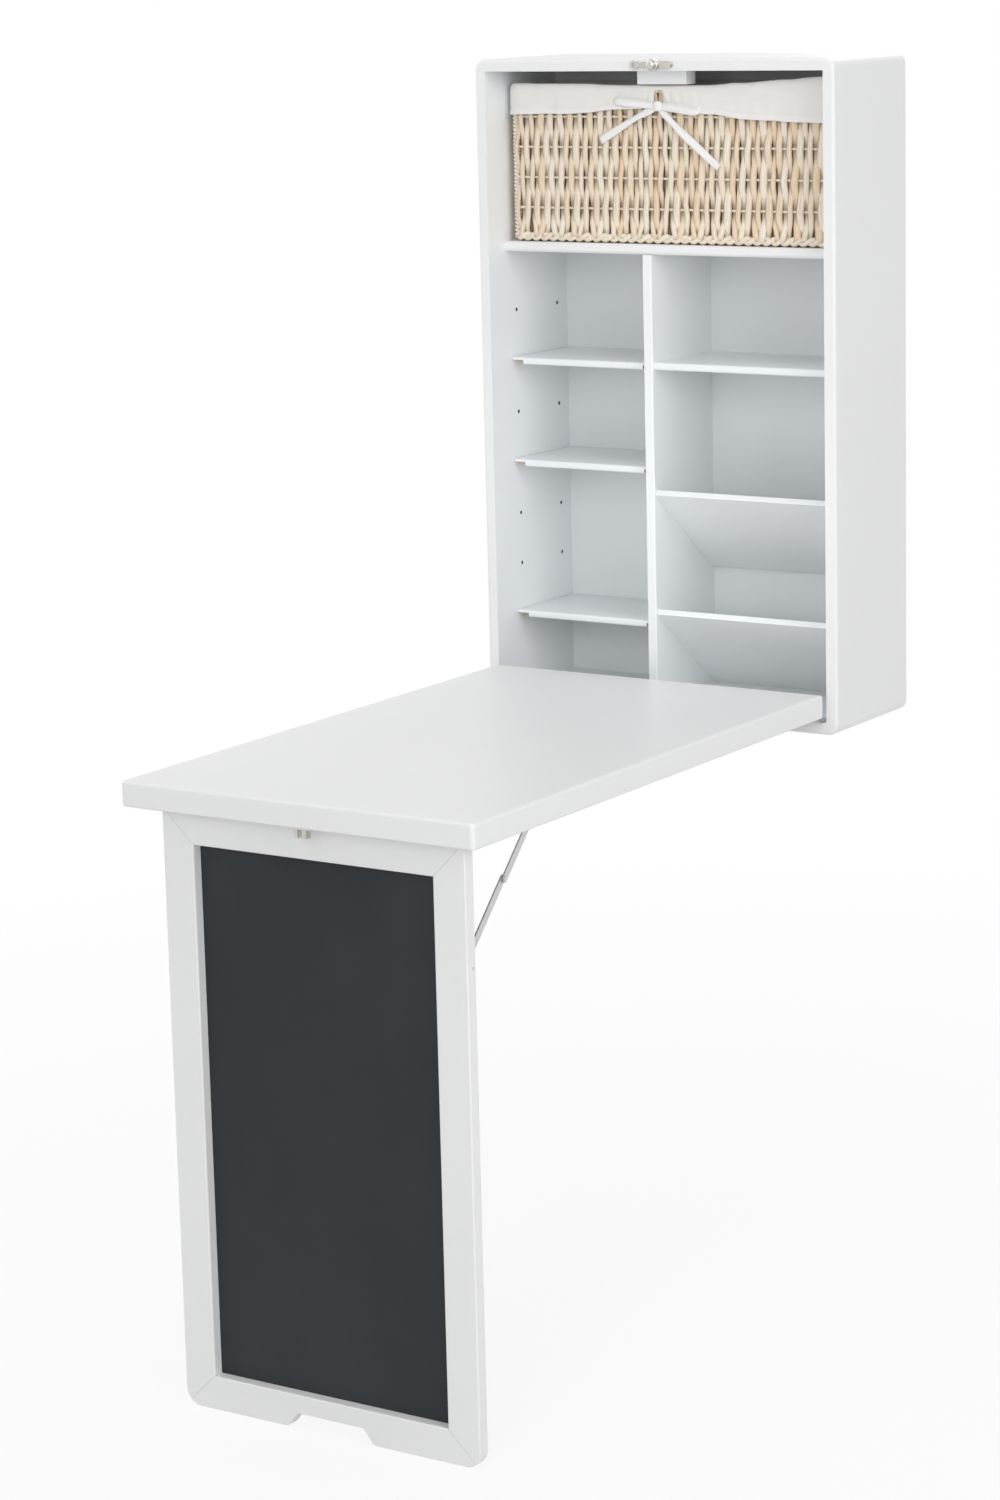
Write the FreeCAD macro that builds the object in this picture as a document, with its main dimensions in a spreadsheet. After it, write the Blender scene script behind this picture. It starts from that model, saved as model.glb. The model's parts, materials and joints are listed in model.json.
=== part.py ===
import FreeCAD, Part
import math
import os
import re
import Sketcher

# Wall cabinet with a fold-down table. The table's leg is a framed blackboard that folds under it.
# Millimetres, +Z up, +X to the right and +Y into the wall, seen from the room.
# The origin lies on the wall plane, midway between the two wall screws.

# Driving dimensions
SIZES = {
    # cabinet shell
    "cabinet_width": 510,
    "cabinet_height": 824,
    "cabinet_depth": 188,
    "panel": 15,
    "corner_round": 14,
    "edge_ease": 2,
    "shell_ease": 4,
    "back_thick": 3,
    "back_rebate": 7,
    "back_fit": 0.2,
    "rail_height": 70,
    "rail_thick": 15,
    "wall_hole_radius": 3.5,
    "wall_hole_spacing": 300,
    "dowel_radius": 4,
    "dowel_length": 30,
    "dowel_sink": 8,
    "dowel_inset": 45,
    "bore_fit": 0.05,
    # shelves, divider and bins
    "shelf_setback": 35,
    "basket_bay": 214.5,
    "basket_shelf_thick": 13,
    "basket_shelf_nose": 5,
    "divider_thick": 13,
    "divider_offset": 28.5,
    "right_bay": 134.5,
    "right_shelf_thick": 9.5,
    "right_shelf_setback": 38,
    "left_shelf_thick": 9,
    "left_shelf_setback": 48,
    "left_shelf_gap": 1,
    "shelf_nose": 3,
    "pin_radius": 2.5,
    "pin_length": 16,
    "pin_seat": 8,
    "pin_lift": 3,
    "pin_slot": 16,
    "pin_slot_short": 8.2,
    "pin_slot_fit": 0.4,
    "first_pin_row": 109,
    "pin_top_margin": 76.5,
    "pin_front_inset": 62,
    "pin_back_inset": 161,
    "bin_thick": 9,
    "bin_angle": 38,
    "bin_setback": 37,
    "bin_rise": 153,
    "stop_width": 70,
    "stop_depth": 22,
    "stop_height": 17.5,
    "stop_gap": 0.6,
    # plates and screws
    "plate_thick": 1.2,
    "screw_radius": 1.4,
    "screw_head": 2.7,
    "screw_length": 7,
    # table and its continuous hinge
    "hinge_knuckle": 3,
    "hinge_pin": 1.25,
    "hinge_stand": 3.5,
    "hinge_leaf": 26,
    "hinge_end_inset": 4,
    "leaf_lift": 0.3,
    "knuckle_gap": 0.3,
    "knuckle_room": 0.4,
    "top_gap": 2,
    "side_gap": 2,
    "top_board": 10,
    "rim_height": 20,
    "front_rim": 30,
    "side_rim": 30,
    "table_corner": 5.5,
    "table_ease": 4,
    "rim_ease": 3,
    # leg with the blackboard
    "leg_side_gap": 3,
    "leg_thick": 17,
    "leg_gap": 1.5,
    "leg_top_gap": 1,
    "foot_gap": 1.5,
    "stile_width": 42.5,
    "top_rail_width": 62,
    "bottom_rail_width": 41,
    "foot_round": 20,
    "notch_width": 119,
    "notch_top_width": 92,
    "notch_height": 18,
    "notch_round": 7,
    "board_recess": 13.5,
    "blackboard_thick": 3,
    "board_lap": 8,
    # leg hinges
    "leg_knuckle": 2.5,
    "leg_pin": 1.1,
    "leg_hinge_length": 40,
    "leg_hinge_inset": 75,
    "leg_leaf": 20,
    "leaf_sink": 0.5,
    "mortise_fit": 0.3,
    # folding stays
    "stay_reach": 150,
    "stay_depth": 5,
    "link_half": 4.5,
    "link_thick": 2,
    "end_flat": 0.1,
    "link_gap": 0.3,
    "stay_pin": 2,
    "groove_wall": 7,
    "groove_width": 11,
    "groove_clear": 1.6,
    "groove_start": 30,
    "groove_run_out": 10,
    "bracket_length": 26,
    "bracket_width": 12,
    "bracket_edge": 0.5,
    "leg_pin_grip": 6,
    "rivet_head": 3.5,
    "rivet_rise": 1,
    # turn latch and keeper
    "latch_offset": 8,
    "latch_plate_length": 46,
    "latch_plate_height": 7,
    "latch_plate_shift": 4,
    "latch_stud": 2.5,
    "latch_hub": 7,
    "latch_arm_thick": 2.5,
    "latch_reach": 27,
    "latch_ring": 5.5,
    "latch_eye": 2.8,
    "latch_neck": 5,
    "latch_tail": 20,
    "latch_tail_half": 4.5,
    "latch_gap": 0.3,
    "knob_radius": 7.5,
    "knob_flange": 3.5,
    "flange_ease": 1.2,
    "knob_cap": 5.2,
    "knob_height": 9,
    "knob_ease": 2,
    "lug_thick": 5,
    "lug_slot": 6,
    "lug_length": 9,
    "lug_height": 10,
    "keeper_inset": 3,
    "keeper_wing": 8,
    # basket, liner and ribbon
    "basket_setback": 40,
    "basket_back_gap": 4,
    "basket_side_gap": 4,
    "basket_headroom": 21,
    "basket_wall": 8,
    "basket_round": 22,
    "liner_thick": 1.5,
    "liner_gap": 0.4,
    "liner_skirt": 36,
    "bow_offset": 8,
    "bow_height": 170,
    "ribbon_thick": 3,
    "ribbon_width": 10,
    "knot_half": 7,
    "loop_length": 56,
    "loop_half": 12,
    "left_tail_run": 88,
    "left_tail_drop": 43,
    "right_tail_run": 88,
    "right_tail_drop": 75,
}

# Counts and signs
HINGE_SEGMENTS = 15
LEG_HINGE_SEGMENTS = 3
PIN_ROWS = 7
SHELF_ROWS = {"left_shelf_lower": 0, "left_shelf_middle": 3, "left_shelf_upper": 5}
SIDES = {"left": -1, "right": 1}
ALL_CORNERS = range(4)
FRONT_CORNERS = range(2)
NOTCH_CORNERS = range(1, 5)

# Sizes and heights that follow from the driving dimensions; heights are above the cabinet's underside
FITS = {
    "inner_width": "cabinet_width - 2 * panel",
    "inner_half": "inner_width / 2",
    "front": "-cabinet_depth",
    "ceiling": "cabinet_height - panel",
    "hang_height": "ceiling - rail_height / 2",
    "basket_shelf_top": "ceiling - basket_bay",
    "basket_shelf_under": "basket_shelf_top - basket_shelf_thick",
    "right_shelf_top": "basket_shelf_under - right_bay",
    "pin_pitch": f"(basket_shelf_under - first_pin_row - pin_top_margin) / {PIN_ROWS - 1}",
    "divider_left": "-divider_offset - divider_thick / 2",
    "divider_right": "-divider_offset + divider_thick / 2",
    "bin_length": "(cabinet_depth - bin_setback - back_thick - bin_thick * sin(bin_angle)) / cos(bin_angle)",
    "bin_seat": "panel + bin_length * sin(bin_angle)",
    "leaf_offset": "hinge_knuckle + leaf_lift",
    "pivot_y": "front - hinge_stand",
    "pivot_z": "panel + leaf_offset",
    "table_back": "pivot_y - leaf_offset",
    "table_under": "pivot_z + hinge_stand",
    "board_under": "table_under + rim_height",
    "table_thick": "top_board + rim_height",
    "table_width": "inner_width - 2 * side_gap",
    "table_length": "ceiling - panel - 2 * leaf_offset - top_gap",
    "table_front": "table_back - table_length",
    "hinge_length": "table_width - 2 * hinge_end_inset",
    "leg_width": "table_width - 2 * (side_rim + leg_side_gap)",
    "leg_hinge_spacing": "leg_width - 2 * leg_hinge_inset",
    "leg_front": "table_front + front_rim + leg_gap",
    "leg_back": "leg_front + leg_thick",
    "leg_top": "board_under - leg_top_gap",
    "leg_leaf_offset": "leg_knuckle + leaf_lift",
    "leg_pivot_y": "leg_back - leaf_sink",
    "leg_pivot_z": "board_under - leg_leaf_offset",
    "leg_reach": "table_back - foot_gap - leg_pivot_y",
    "leg_foot": "leg_pivot_z - leg_reach",
    "leg_height": "leg_top - leg_foot",
    "opening_width": "leg_width - 2 * stile_width",
    "opening_height": "leg_height - top_rail_width - bottom_rail_width",
    "opening_foot": "leg_foot + bottom_rail_width",
    "stay_table_y": "leg_pivot_y + stay_reach",
    "stay_table_z": "leg_pivot_z - stay_depth",
    "stay_leg_y": "leg_pivot_y - stay_depth",
    "stay_leg_z": "leg_pivot_z - stay_reach - 2 * stay_depth",
    "stay_span": "(stay_reach + stay_depth) * sqrt(2)",
    "upper_link": "stay_span / 2 - stay_depth",
    "lower_link": "stay_span / 2 + stay_depth",
    "groove_outer": "leg_width / 2 - groove_wall",
    "groove_inner": "groove_outer - groove_width",
    "groove_depth": "leaf_sink + stay_depth + link_half + groove_clear",
    "ear_outer": "groove_outer - bracket_edge",
    "ear_inner": "ear_outer - plate_thick",
    "upper_outer": "ear_inner - link_gap",
    "upper_inner": "upper_outer - link_thick",
    "lower_outer": "upper_inner - link_gap",
    "lower_inner": "lower_outer - link_thick",
    "latch_z": "cabinet_height - panel / 2",
    "arm_back": "front - plate_thick - latch_gap",
    "arm_front": "arm_back - latch_arm_thick",
    "keeper_width": "2 * lug_thick + lug_slot",
    "basket_width": "inner_width - 2 * basket_side_gap",
    "basket_front": "front + basket_setback",
    "basket_depth": "cabinet_depth - basket_setback - back_thick - rail_thick - basket_back_gap",
    "basket_height": "basket_bay - basket_headroom",
    "basket_rim": "basket_shelf_top + basket_height",
    "skirt_front": "basket_front - liner_gap - liner_thick",
    "bow_width": "left_tail_run + right_tail_run",
}

PLATE_SCREW_SHARES = (0.12, 0.88)
LOOP_SHOULDER = 0.6
LOOP_BELLY = 0.7
SAME_PLACE = 0.001
ROUGH_CENTRE = 200
ROUGH_RADIUS = 100

FLAT = FreeCAD.Rotation()
UPRIGHT = FreeCAD.Rotation(FreeCAD.Vector(1, 0, 0), 90)
ALONG_X = FreeCAD.Rotation(FreeCAD.Vector(0, 1, 0), 90)
ALONG_Y = FreeCAD.Rotation(FreeCAD.Vector(1, 0, 0), -90)
TOWARDS_ROOM = UPRIGHT
INTO_WALL = ALONG_Y
UPWARDS = FLAT
DOWNWARDS = FreeCAD.Rotation(FreeCAD.Vector(1, 0, 0), 180)

doc = FreeCAD.newDocument("WallFoldingTable")


# Spreadsheets

def fill_sheet(name, cells):
    sheet = doc.addObject("Spreadsheet::Sheet", name)
    for row, (alias, text) in enumerate(cells.items(), 1):
        sheet.set(f"A{row}", alias)
        sheet.set(f"B{row}", text)
        sheet.setAlias(f"B{row}", alias)
    doc.recompute()
    return sheet


def formula(text):
    def owner(match):
        word = match.group()
        if word in SIZES:
            return f"Sizes.{word}"
        if word in FITS:
            return f"Fits.{word}"
        return word
    return re.sub(r"[a-z_]+", owner, text)


def fit_cell(text):
    return "=" + re.sub(r"[a-z_]+", lambda match: sized(match.group()), text)


def sized(word):
    return f"Sizes.{word}" if word in SIZES else word


sizes = fill_sheet("Sizes", {name: str(value) for name, value in SIZES.items()})
fits = fill_sheet("Fits", {name: fit_cell(text) for name, text in FITS.items()})


def number(name):
    sheet = sizes if name in SIZES else fits
    return float(sheet.get(name))


# Building blocks

def bind(thing, prop, text):
    thing.setExpression(prop, formula(text))


def put(piece, corner, turn=FLAT):
    x, y, z = corner
    piece.Placement = FreeCAD.Placement(FreeCAD.Vector(), turn)
    bind(piece, "Placement.Base.x", x)
    bind(piece, "Placement.Base.y", y)
    bind(piece, "Placement.Base.z", f"({z}) - hang_height")


def box(name, size, corner, turn=FLAT):
    piece = doc.addObject("Part::Box", name)
    for prop, text in zip(("Length", "Width", "Height"), size):
        bind(piece, prop, text)
    put(piece, corner, turn)
    return piece


def rod(name, radius, length, end, turn=FLAT):
    piece = doc.addObject("Part::Cylinder", name)
    bind(piece, "Radius", radius)
    bind(piece, "Height", length)
    put(piece, end, turn)
    return piece


def group(name, pieces):
    together = doc.addObject("Part::Compound", name)
    together.Links = list(pieces)
    return together


def fuse(name, pieces):
    joined = doc.addObject("Part::MultiFuse", name)
    joined.Shapes = list(pieces)
    return joined


def cut(name, base, *tools):
    piece = doc.addObject("Part::Cut", name)
    piece.Base = base
    piece.Tool = tools[0] if len(tools) == 1 else group(name + "_tools", tools)
    return piece


def near(first, second):
    return abs(first - second) < SAME_PLACE


def eased(name, base, radius, wanted):
    doc.recompute()
    shape = base.Shape
    edges = [index for index, edge in enumerate(shape.Edges, 1) if wanted(edge.BoundBox, shape.BoundBox)]
    piece = doc.addObject("Part::Fillet", name)
    piece.Base = base
    piece.Edges = [(index, radius, radius) for index in edges]
    return piece


def front_edges(edge, whole):
    return near(edge.YMax, whole.YMin)


def front_lengthwise_edges(edge, whole):
    return front_edges(edge, whole) and edge.XLength > edge.ZLength


def front_upright_edges(edge, whole):
    return front_edges(edge, whole) and edge.ZLength > edge.XLength


def top_edges(edge, whole):
    return near(edge.ZMin, whole.ZMax)


def constrain(sketch, kind, geometry, point, text):
    if text == "0":
        axis = -2 if kind == "DistanceX" else -1
        sketch.addConstraint(Sketcher.Constraint("PointOnObject", geometry, point, axis))
        return
    index = sketch.addConstraint(Sketcher.Constraint(kind, -1, 1, geometry, point, 1.0))
    sketch.setExpression(f"Constraints[{index}]", formula(text))


def rough_point(angle):
    across = ROUGH_CENTRE + ROUGH_RADIUS * math.cos(angle)
    up = ROUGH_CENTRE + ROUGH_RADIUS * math.sin(angle)
    return FreeCAD.Vector(across, up, 0)


def draw_outline(sketch, points):
    count = len(points)
    # a rough ring of points to begin with; the constraints set the true outline
    ring = [rough_point(2 * math.pi * index / count) for index in range(count)]
    for index in range(count):
        sketch.addGeometry(Part.LineSegment(ring[index], ring[(index + 1) % count]))
    for index in range(count):
        sketch.addConstraint(Sketcher.Constraint("Coincident", index, 2, (index + 1) % count, 1))
    for index, (across, up) in enumerate(points):
        constrain(sketch, "DistanceX", index, 1, across)
        constrain(sketch, "DistanceY", index, 1, up)


def draw_hole(sketch, across, up, radius):
    circle = Part.Circle(rough_point(0), FreeCAD.Vector(0, 0, 1), 1)
    index = sketch.addGeometry(circle)
    constrain(sketch, "DistanceX", index, 3, across)
    constrain(sketch, "DistanceY", index, 3, up)
    size = sketch.addConstraint(Sketcher.Constraint("Radius", index, 1.0))
    sketch.setExpression(f"Constraints[{size}]", formula(radius))


def round_corners(body, sketch, pad, corners, radius):
    doc.recompute()
    posts = [sketch.Geometry[index].StartPoint for index in corners]
    names = []
    for index, edge in enumerate(pad.Shape.Edges, 1):
        middle = edge.BoundBox.Center
        upright = near(edge.BoundBox.XLength + edge.BoundBox.YLength, 0)
        if upright and any(near(middle.x, post.x) and near(middle.y, post.y) for post in posts):
            names.append(f"Edge{index}")
    fillet = body.newObject("PartDesign::Fillet", f"{body.Name}_corners")
    fillet.Base = (pad, names)
    bind(fillet, "Radius", radius)


def slab(name, outline, thickness, corner, turn=FLAT, holes=(), corners=(), radius="0"):
    body = doc.addObject("PartDesign::Body", name)
    sketch = body.newObject("Sketcher::SketchObject", f"{name}_outline")
    plane = [feature for feature in body.Origin.OriginFeatures if feature.Role == "XY_Plane"][0]
    sketch.AttachmentSupport = [(plane, "")]
    sketch.MapMode = "FlatFace"
    draw_outline(sketch, outline)
    for across, up, size in holes:
        draw_hole(sketch, across, up, size)
    pad = body.newObject("PartDesign::Pad", f"{name}_pad")
    pad.Profile = sketch
    bind(pad, "Length", thickness)
    if corners:
        round_corners(body, sketch, pad, corners, radius)
    put(body, corner, turn)
    return body


def rectangle(width, height):
    return [("0", "0"), (width, "0"), (width, height), ("0", height)]


# Countersunk screws; a place is the centre of the head's outer face

def screw_form(name, place, turn, extra):
    head = doc.addObject("Part::Cone", f"{name}_head")
    bind(head, "Radius1", f"screw_head + {extra}")
    bind(head, "Radius2", f"screw_radius + {extra}")
    bind(head, "Height", "plate_thick")
    put(head, place, turn)
    length = f"plate_thick + screw_length + {extra}"
    shank = rod(f"{name}_shank", f"screw_radius + {extra}", length, place, turn)
    return fuse(name, [head, shank])


def screws(name, places, turn):
    return group(name, [screw_form(f"{name}_{i}", place, turn, "0") for i, place in enumerate(places)])


def screw_holes(name, places, turn):
    forms = [screw_form(f"{name}_{i}", place, turn, "bore_fit") for i, place in enumerate(places)]
    return group(name, forms)


# Hinge leaves: a plate beside the pivot and knuckles on every second segment

def hinge_leaf(name, pivot, sizes_of, start, segments, own, plate, web):
    knuckle, pin, length = sizes_of
    pivot_y, pivot_z = pivot
    segment = f"({length}) / {segments}"
    pieces = [box(f"{name}_plate", (length, plate[1][0], plate[1][1]), (start, plate[0][0], plate[0][1]))]
    for index in own:
        place = f"{start} + {index} * {segment} + knuckle_gap / 2"
        wide = f"{segment} - knuckle_gap"
        pieces.append(rod(f"{name}_knuckle_{index}", knuckle, wide, (place, pivot_y, pivot_z), ALONG_X))
        pieces.append(box(f"{name}_web_{index}", (wide, web[1][0], web[1][1]), (place, web[0][0], web[0][1])))
    bore = rod(f"{name}_bore", f"{pin} + bore_fit", length, (start, pivot_y, pivot_z), ALONG_X)
    return cut(f"{name}_bored", fuse(f"{name}_form", pieces), bore)


# Cabinet shell

def dowels(name, extra):
    pieces = []
    for side, sign in SIDES.items():
        start = "inner_half - dowel_length + dowel_sink" if sign > 0 else "-inner_half - dowel_sink"
        for level, height in (("low", "panel / 2"), ("high", "cabinet_height - panel / 2")):
            for row, depth in (("front", "front + dowel_inset"), ("rear", "-dowel_inset")):
                pieces.append(rod(
                    f"{name}_{side}_{level}_{row}", f"dowel_radius + {extra}", f"dowel_length + 2 * {extra}",
                    (f"{start} - {extra}", depth, height), ALONG_X,
                ))
    return group(name, pieces)


dowel_bores = dowels("dowel_bores", "bore_fit")
corner_dowels = dowels("corner_dowels", "0")

back_seat = box(
    "back_seat",
    ("inner_width + 2 * back_rebate", "back_thick", "ceiling - panel + 2 * back_rebate"),
    ("-inner_half - back_rebate", "-back_thick", "panel - back_rebate"),
)
wall_bores = group("wall_bores", [
    rod(
        f"wall_bore_{side}", "wall_hole_radius", "back_thick + rail_thick",
        (f"{sign} * wall_hole_spacing / 2", "-back_thick - rail_thick", "hang_height"), ALONG_Y,
    )
    for side, sign in SIDES.items()
])
back_blank = box(
    "back_board_blank",
    (
        "inner_width + 2 * (back_rebate - back_fit)",
        "back_thick",
        "ceiling - panel + 2 * (back_rebate - back_fit)",
    ),
    ("-inner_half - back_rebate + back_fit", "-back_thick", "panel - back_rebate + back_fit"),
)
back_board = cut("back_board", back_blank, wall_bores)
rail_blank = box(
    "hanging_rail_blank",
    ("inner_width", "rail_thick", "rail_height"),
    ("-inner_half", "-back_thick - rail_thick", "ceiling - rail_height"),
)
hanging_rail = cut("hanging_rail", rail_blank, wall_bores)


def pin_rods(name, wall, reach, radius, rows, extra):
    pieces = []
    for row in rows:
        for column, depth in (("front", "front + pin_front_inset"), ("rear", "front + pin_back_inset")):
            place = (wall, depth, f"first_pin_row + {row} * pin_pitch")
            pieces.append(rod(f"{name}_{row}_{column}", f"{radius} + {extra}", reach, place, ALONG_X))
    return pieces


def outer_corner(edge, whole, outer):
    lengthwise = edge.YLength > edge.XLength + edge.ZLength
    at_end = near(edge.ZMin, whole.ZMin) or near(edge.ZMax, whole.ZMax)
    return lengthwise and at_end and near(edge.XMin, outer)


upright_panel = ("panel", "cabinet_depth", "cabinet_height")
left_blank = box("cabinet_left_side_blank", upright_panel, ("-cabinet_width / 2", "front", "0"))
right_blank = box("cabinet_right_side_blank", upright_panel, ("inner_half", "front", "0"))
corner_radius = min(number("corner_round"), number("panel") - 1)
left_rounded = eased(
    "cabinet_left_side_rounded", left_blank, corner_radius,
    lambda edge, whole: outer_corner(edge, whole, whole.XMin),
)
right_rounded = eased(
    "cabinet_right_side_rounded", right_blank, corner_radius,
    lambda edge, whole: outer_corner(edge, whole, whole.XMax),
)
left_eased = eased(
    "cabinet_left_side_eased", left_rounded, number("shell_ease"),
    lambda edge, whole: front_edges(edge, whole) and not near(edge.XMin, whole.XMax),
)
right_eased = eased(
    "cabinet_right_side_eased", right_rounded, number("shell_ease"),
    lambda edge, whole: front_edges(edge, whole) and not near(edge.XMax, whole.XMin),
)
wall_pin_bores = group("wall_pin_bores", pin_rods(
    "wall_pin_bore", "-inner_half - pin_seat - bore_fit", "pin_seat + bore_fit", "pin_radius",
    range(PIN_ROWS), "bore_fit",
))
left_side = cut("cabinet_left_side", left_eased, back_seat, dowel_bores, wall_pin_bores)
right_side = cut("cabinet_right_side", right_eased, back_seat, dowel_bores)

level_panel = ("inner_width", "cabinet_depth", "panel")
top_blank = box("cabinet_top_blank", level_panel, ("-inner_half", "front", "ceiling"))
bottom_blank = box("cabinet_bottom_blank", level_panel, ("-inner_half", "front", "0"))
top_eased = eased(
    "cabinet_top_eased", top_blank, number("shell_ease"),
    lambda edge, whole: front_lengthwise_edges(edge, whole) and near(edge.ZMin, whole.ZMax),
)
bottom_eased = eased(
    "cabinet_bottom_eased", bottom_blank, number("shell_ease"),
    lambda edge, whole: front_lengthwise_edges(edge, whole) and near(edge.ZMax, whole.ZMin),
)


# Shelves, divider and bins

shelf_blank = box(
    "basket_shelf_blank",
    ("inner_width", "cabinet_depth - shelf_setback - back_thick", "basket_shelf_thick"),
    ("-inner_half", "front + shelf_setback", "basket_shelf_under"),
)
nose = min(number("basket_shelf_nose"), number("basket_shelf_thick") / 2 - 0.5)
basket_shelf = eased("basket_shelf", shelf_blank, nose, front_lengthwise_edges)

divider_blank = box(
    "centre_divider_blank",
    ("divider_thick", "cabinet_depth - shelf_setback - back_thick", "basket_shelf_under - panel"),
    ("divider_left", "front + shelf_setback", "panel"),
)
divider_eased = eased("centre_divider_eased", divider_blank, number("edge_ease"), front_upright_edges)
divider_pin_bores = group("divider_pin_bores", pin_rods(
    "divider_pin_bore", "divider_left", "pin_seat + bore_fit", "pin_radius", range(PIN_ROWS), "bore_fit",
))
centre_divider = cut("centre_divider", divider_eased, divider_pin_bores)

right_shelf_blank = box(
    "right_shelf_blank",
    ("inner_half - divider_right", "cabinet_depth - right_shelf_setback - back_thick", "right_shelf_thick"),
    ("divider_right", "front + right_shelf_setback", "right_shelf_top - right_shelf_thick"),
)
right_nose = min(number("shelf_nose"), number("right_shelf_thick") / 2 - 0.5)
right_shelf = eased("right_shelf", right_shelf_blank, right_nose, front_lengthwise_edges)


def bin_board(name, height):
    blank = box(
        f"{name}_blank", ("inner_half - divider_right", "bin_length", "bin_thick"),
        ("divider_right", "front + bin_setback", height),
        FreeCAD.Rotation(FreeCAD.Vector(1, 0, 0), -number("bin_angle")),
    )
    edge_radius = min(number("shelf_nose"), number("bin_thick") / 2 - 0.5)
    return eased(name, blank, edge_radius, upper_front_edge)


def upper_front_edge(edge, whole):
    return near(edge.ZMin, whole.ZMax) and edge.XLength > edge.YLength


lower_bin_board = bin_board("lower_bin_board", "bin_seat")
upper_bin_board = bin_board("upper_bin_board", "bin_seat + bin_rise")

left_shelf_width = "divider_left + inner_half - 2 * left_shelf_gap"
left_shelf_depth = "cabinet_depth - left_shelf_setback - back_thick - left_shelf_gap"


def left_shelf(name, row):
    level = f"first_pin_row + {row} * pin_pitch - pin_lift"
    start = "-inner_half + left_shelf_gap"
    blank = box(
        f"{name}_blank", (left_shelf_width, left_shelf_depth, "left_shelf_thick"),
        (start, "front + left_shelf_setback", level),
    )
    edge_radius = min(number("shelf_nose"), number("left_shelf_thick") / 2 - 0.5)
    rounded = eased(f"{name}_rounded", blank, edge_radius, front_lengthwise_edges)
    slots = []
    columns = {
        "front": ("left_shelf_setback", "pin_front_inset"),
        "rear": ("pin_back_inset - pin_radius", "pin_back_inset"),
    }
    ends = {
        "left": (start, "pin_slot"),
        "right": ("divider_left - left_shelf_gap - pin_slot_short", "pin_slot_short"),
    }
    for end, (place, length) in ends.items():
        for column, (near_depth, pin_depth) in columns.items():
            slot_name = f"{name}_slot_{end}_{column}"
            slots.append(shelf_slot(slot_name, (place, level), length, near_depth, pin_depth))
    return cut(name, rounded, *slots)


def shelf_slot(name, corner, length, near_depth, pin_depth):
    # routed from below over a pin; the front slots run out through the shelf's front edge
    depth = f"{pin_depth} + pin_radius + pin_slot_fit - ({near_depth})"
    return box(
        name, (length, depth, "pin_lift + pin_radius + bore_fit"),
        (corner[0], f"front + {near_depth} - pin_slot_fit / 2", corner[1]),
    )


for shelf_name, shelf_row in SHELF_ROWS.items():
    left_shelf(shelf_name, shelf_row)

wall_pins = pin_rods("wall_pin", "-inner_half - pin_seat", "pin_length", "pin_radius", SHELF_ROWS.values(), "0")
divider_pins = pin_rods(
    "divider_pin", "divider_left - pin_length + pin_seat", "pin_length", "pin_radius", SHELF_ROWS.values(), "0",
)
shelf_pins = group("shelf_pins", wall_pins + divider_pins)

stop_block_blank = box(
    "stop_block_blank", ("stop_width", "stop_depth", "stop_height"),
    ("-stop_width / 2", "front + table_thick + stop_gap", "ceiling - stop_height"),
)
stop_block = eased("stop_block", stop_block_blank, number("edge_ease"), front_lengthwise_edges)


# Table board and rims

table_corner = "min(table_corner; front_rim - 1)"
table_blank = slab(
    "table_board_blank", rectangle("table_width", "table_length"), "top_board",
    ("-table_width / 2", "table_front", "board_under"), corners=FRONT_CORNERS, radius=table_corner,
)
table_ease = min(number("table_ease"), number("top_board") - 1)
table_eased = eased("table_board_eased", table_blank, table_ease, top_edges)

front_rim_blank = slab(
    "table_front_rim_blank", rectangle("table_width", "front_rim"), "rim_height",
    ("-table_width / 2", "table_front", "table_under"), corners=FRONT_CORNERS, radius=table_corner,
)
front_rim_eased = eased(
    "table_front_rim_eased", front_rim_blank, number("rim_ease"),
    lambda edge, whole: near(edge.ZMax, whole.ZMin) and not near(edge.YMin, whole.YMax),
)


def side_rim(side, sign):
    start = "table_width / 2 - side_rim" if sign > 0 else "-table_width / 2"
    blank = box(
        f"table_{side}_rim_blank", ("side_rim", "table_length - front_rim", "rim_height"),
        (start, "table_front + front_rim", "table_under"),
    )

    def lower_outer_edge(edge, whole):
        outer = whole.XMax if sign > 0 else whole.XMin
        return near(edge.ZMax, whole.ZMin) and near(edge.XMin, outer) and near(edge.XMax, outer)

    return eased(f"table_{side}_rim_eased", blank, number("rim_ease"), lower_outer_edge)


rims_eased = {side: side_rim(side, sign) for side, sign in SIDES.items()}


# Continuous hinge between cabinet floor and table

hinge_start = "-hinge_length / 2"
hinge_sizes = ("hinge_knuckle", "hinge_pin", "hinge_length")
leaf_start = "(hinge_knuckle + knuckle_room)"
cabinet_leaf_bored = hinge_leaf(
    "table_hinge_cabinet_leaf", ("pivot_y", "pivot_z"), hinge_sizes, hinge_start, HINGE_SEGMENTS,
    range(0, HINGE_SEGMENTS, 2),
    ((f"pivot_y + {leaf_start}", "panel"), ("hinge_leaf", "plate_thick")),
    (("pivot_y", "panel + leaf_lift"), (leaf_start, "plate_thick - leaf_lift")),
)
table_leaf_bored = hinge_leaf(
    "table_hinge_table_leaf", ("pivot_y", "pivot_z"), hinge_sizes, hinge_start, HINGE_SEGMENTS,
    range(1, HINGE_SEGMENTS, 2),
    (("table_back", f"pivot_z + {leaf_start}"), ("plate_thick", "hinge_leaf")),
    (("table_back + leaf_lift", "pivot_z"), ("plate_thick - leaf_lift", leaf_start)),
)
table_hinge_pin = rod(
    "table_hinge_pin", "hinge_pin", "hinge_length", (hinge_start, "pivot_y", "pivot_z"), ALONG_X,
)

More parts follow.
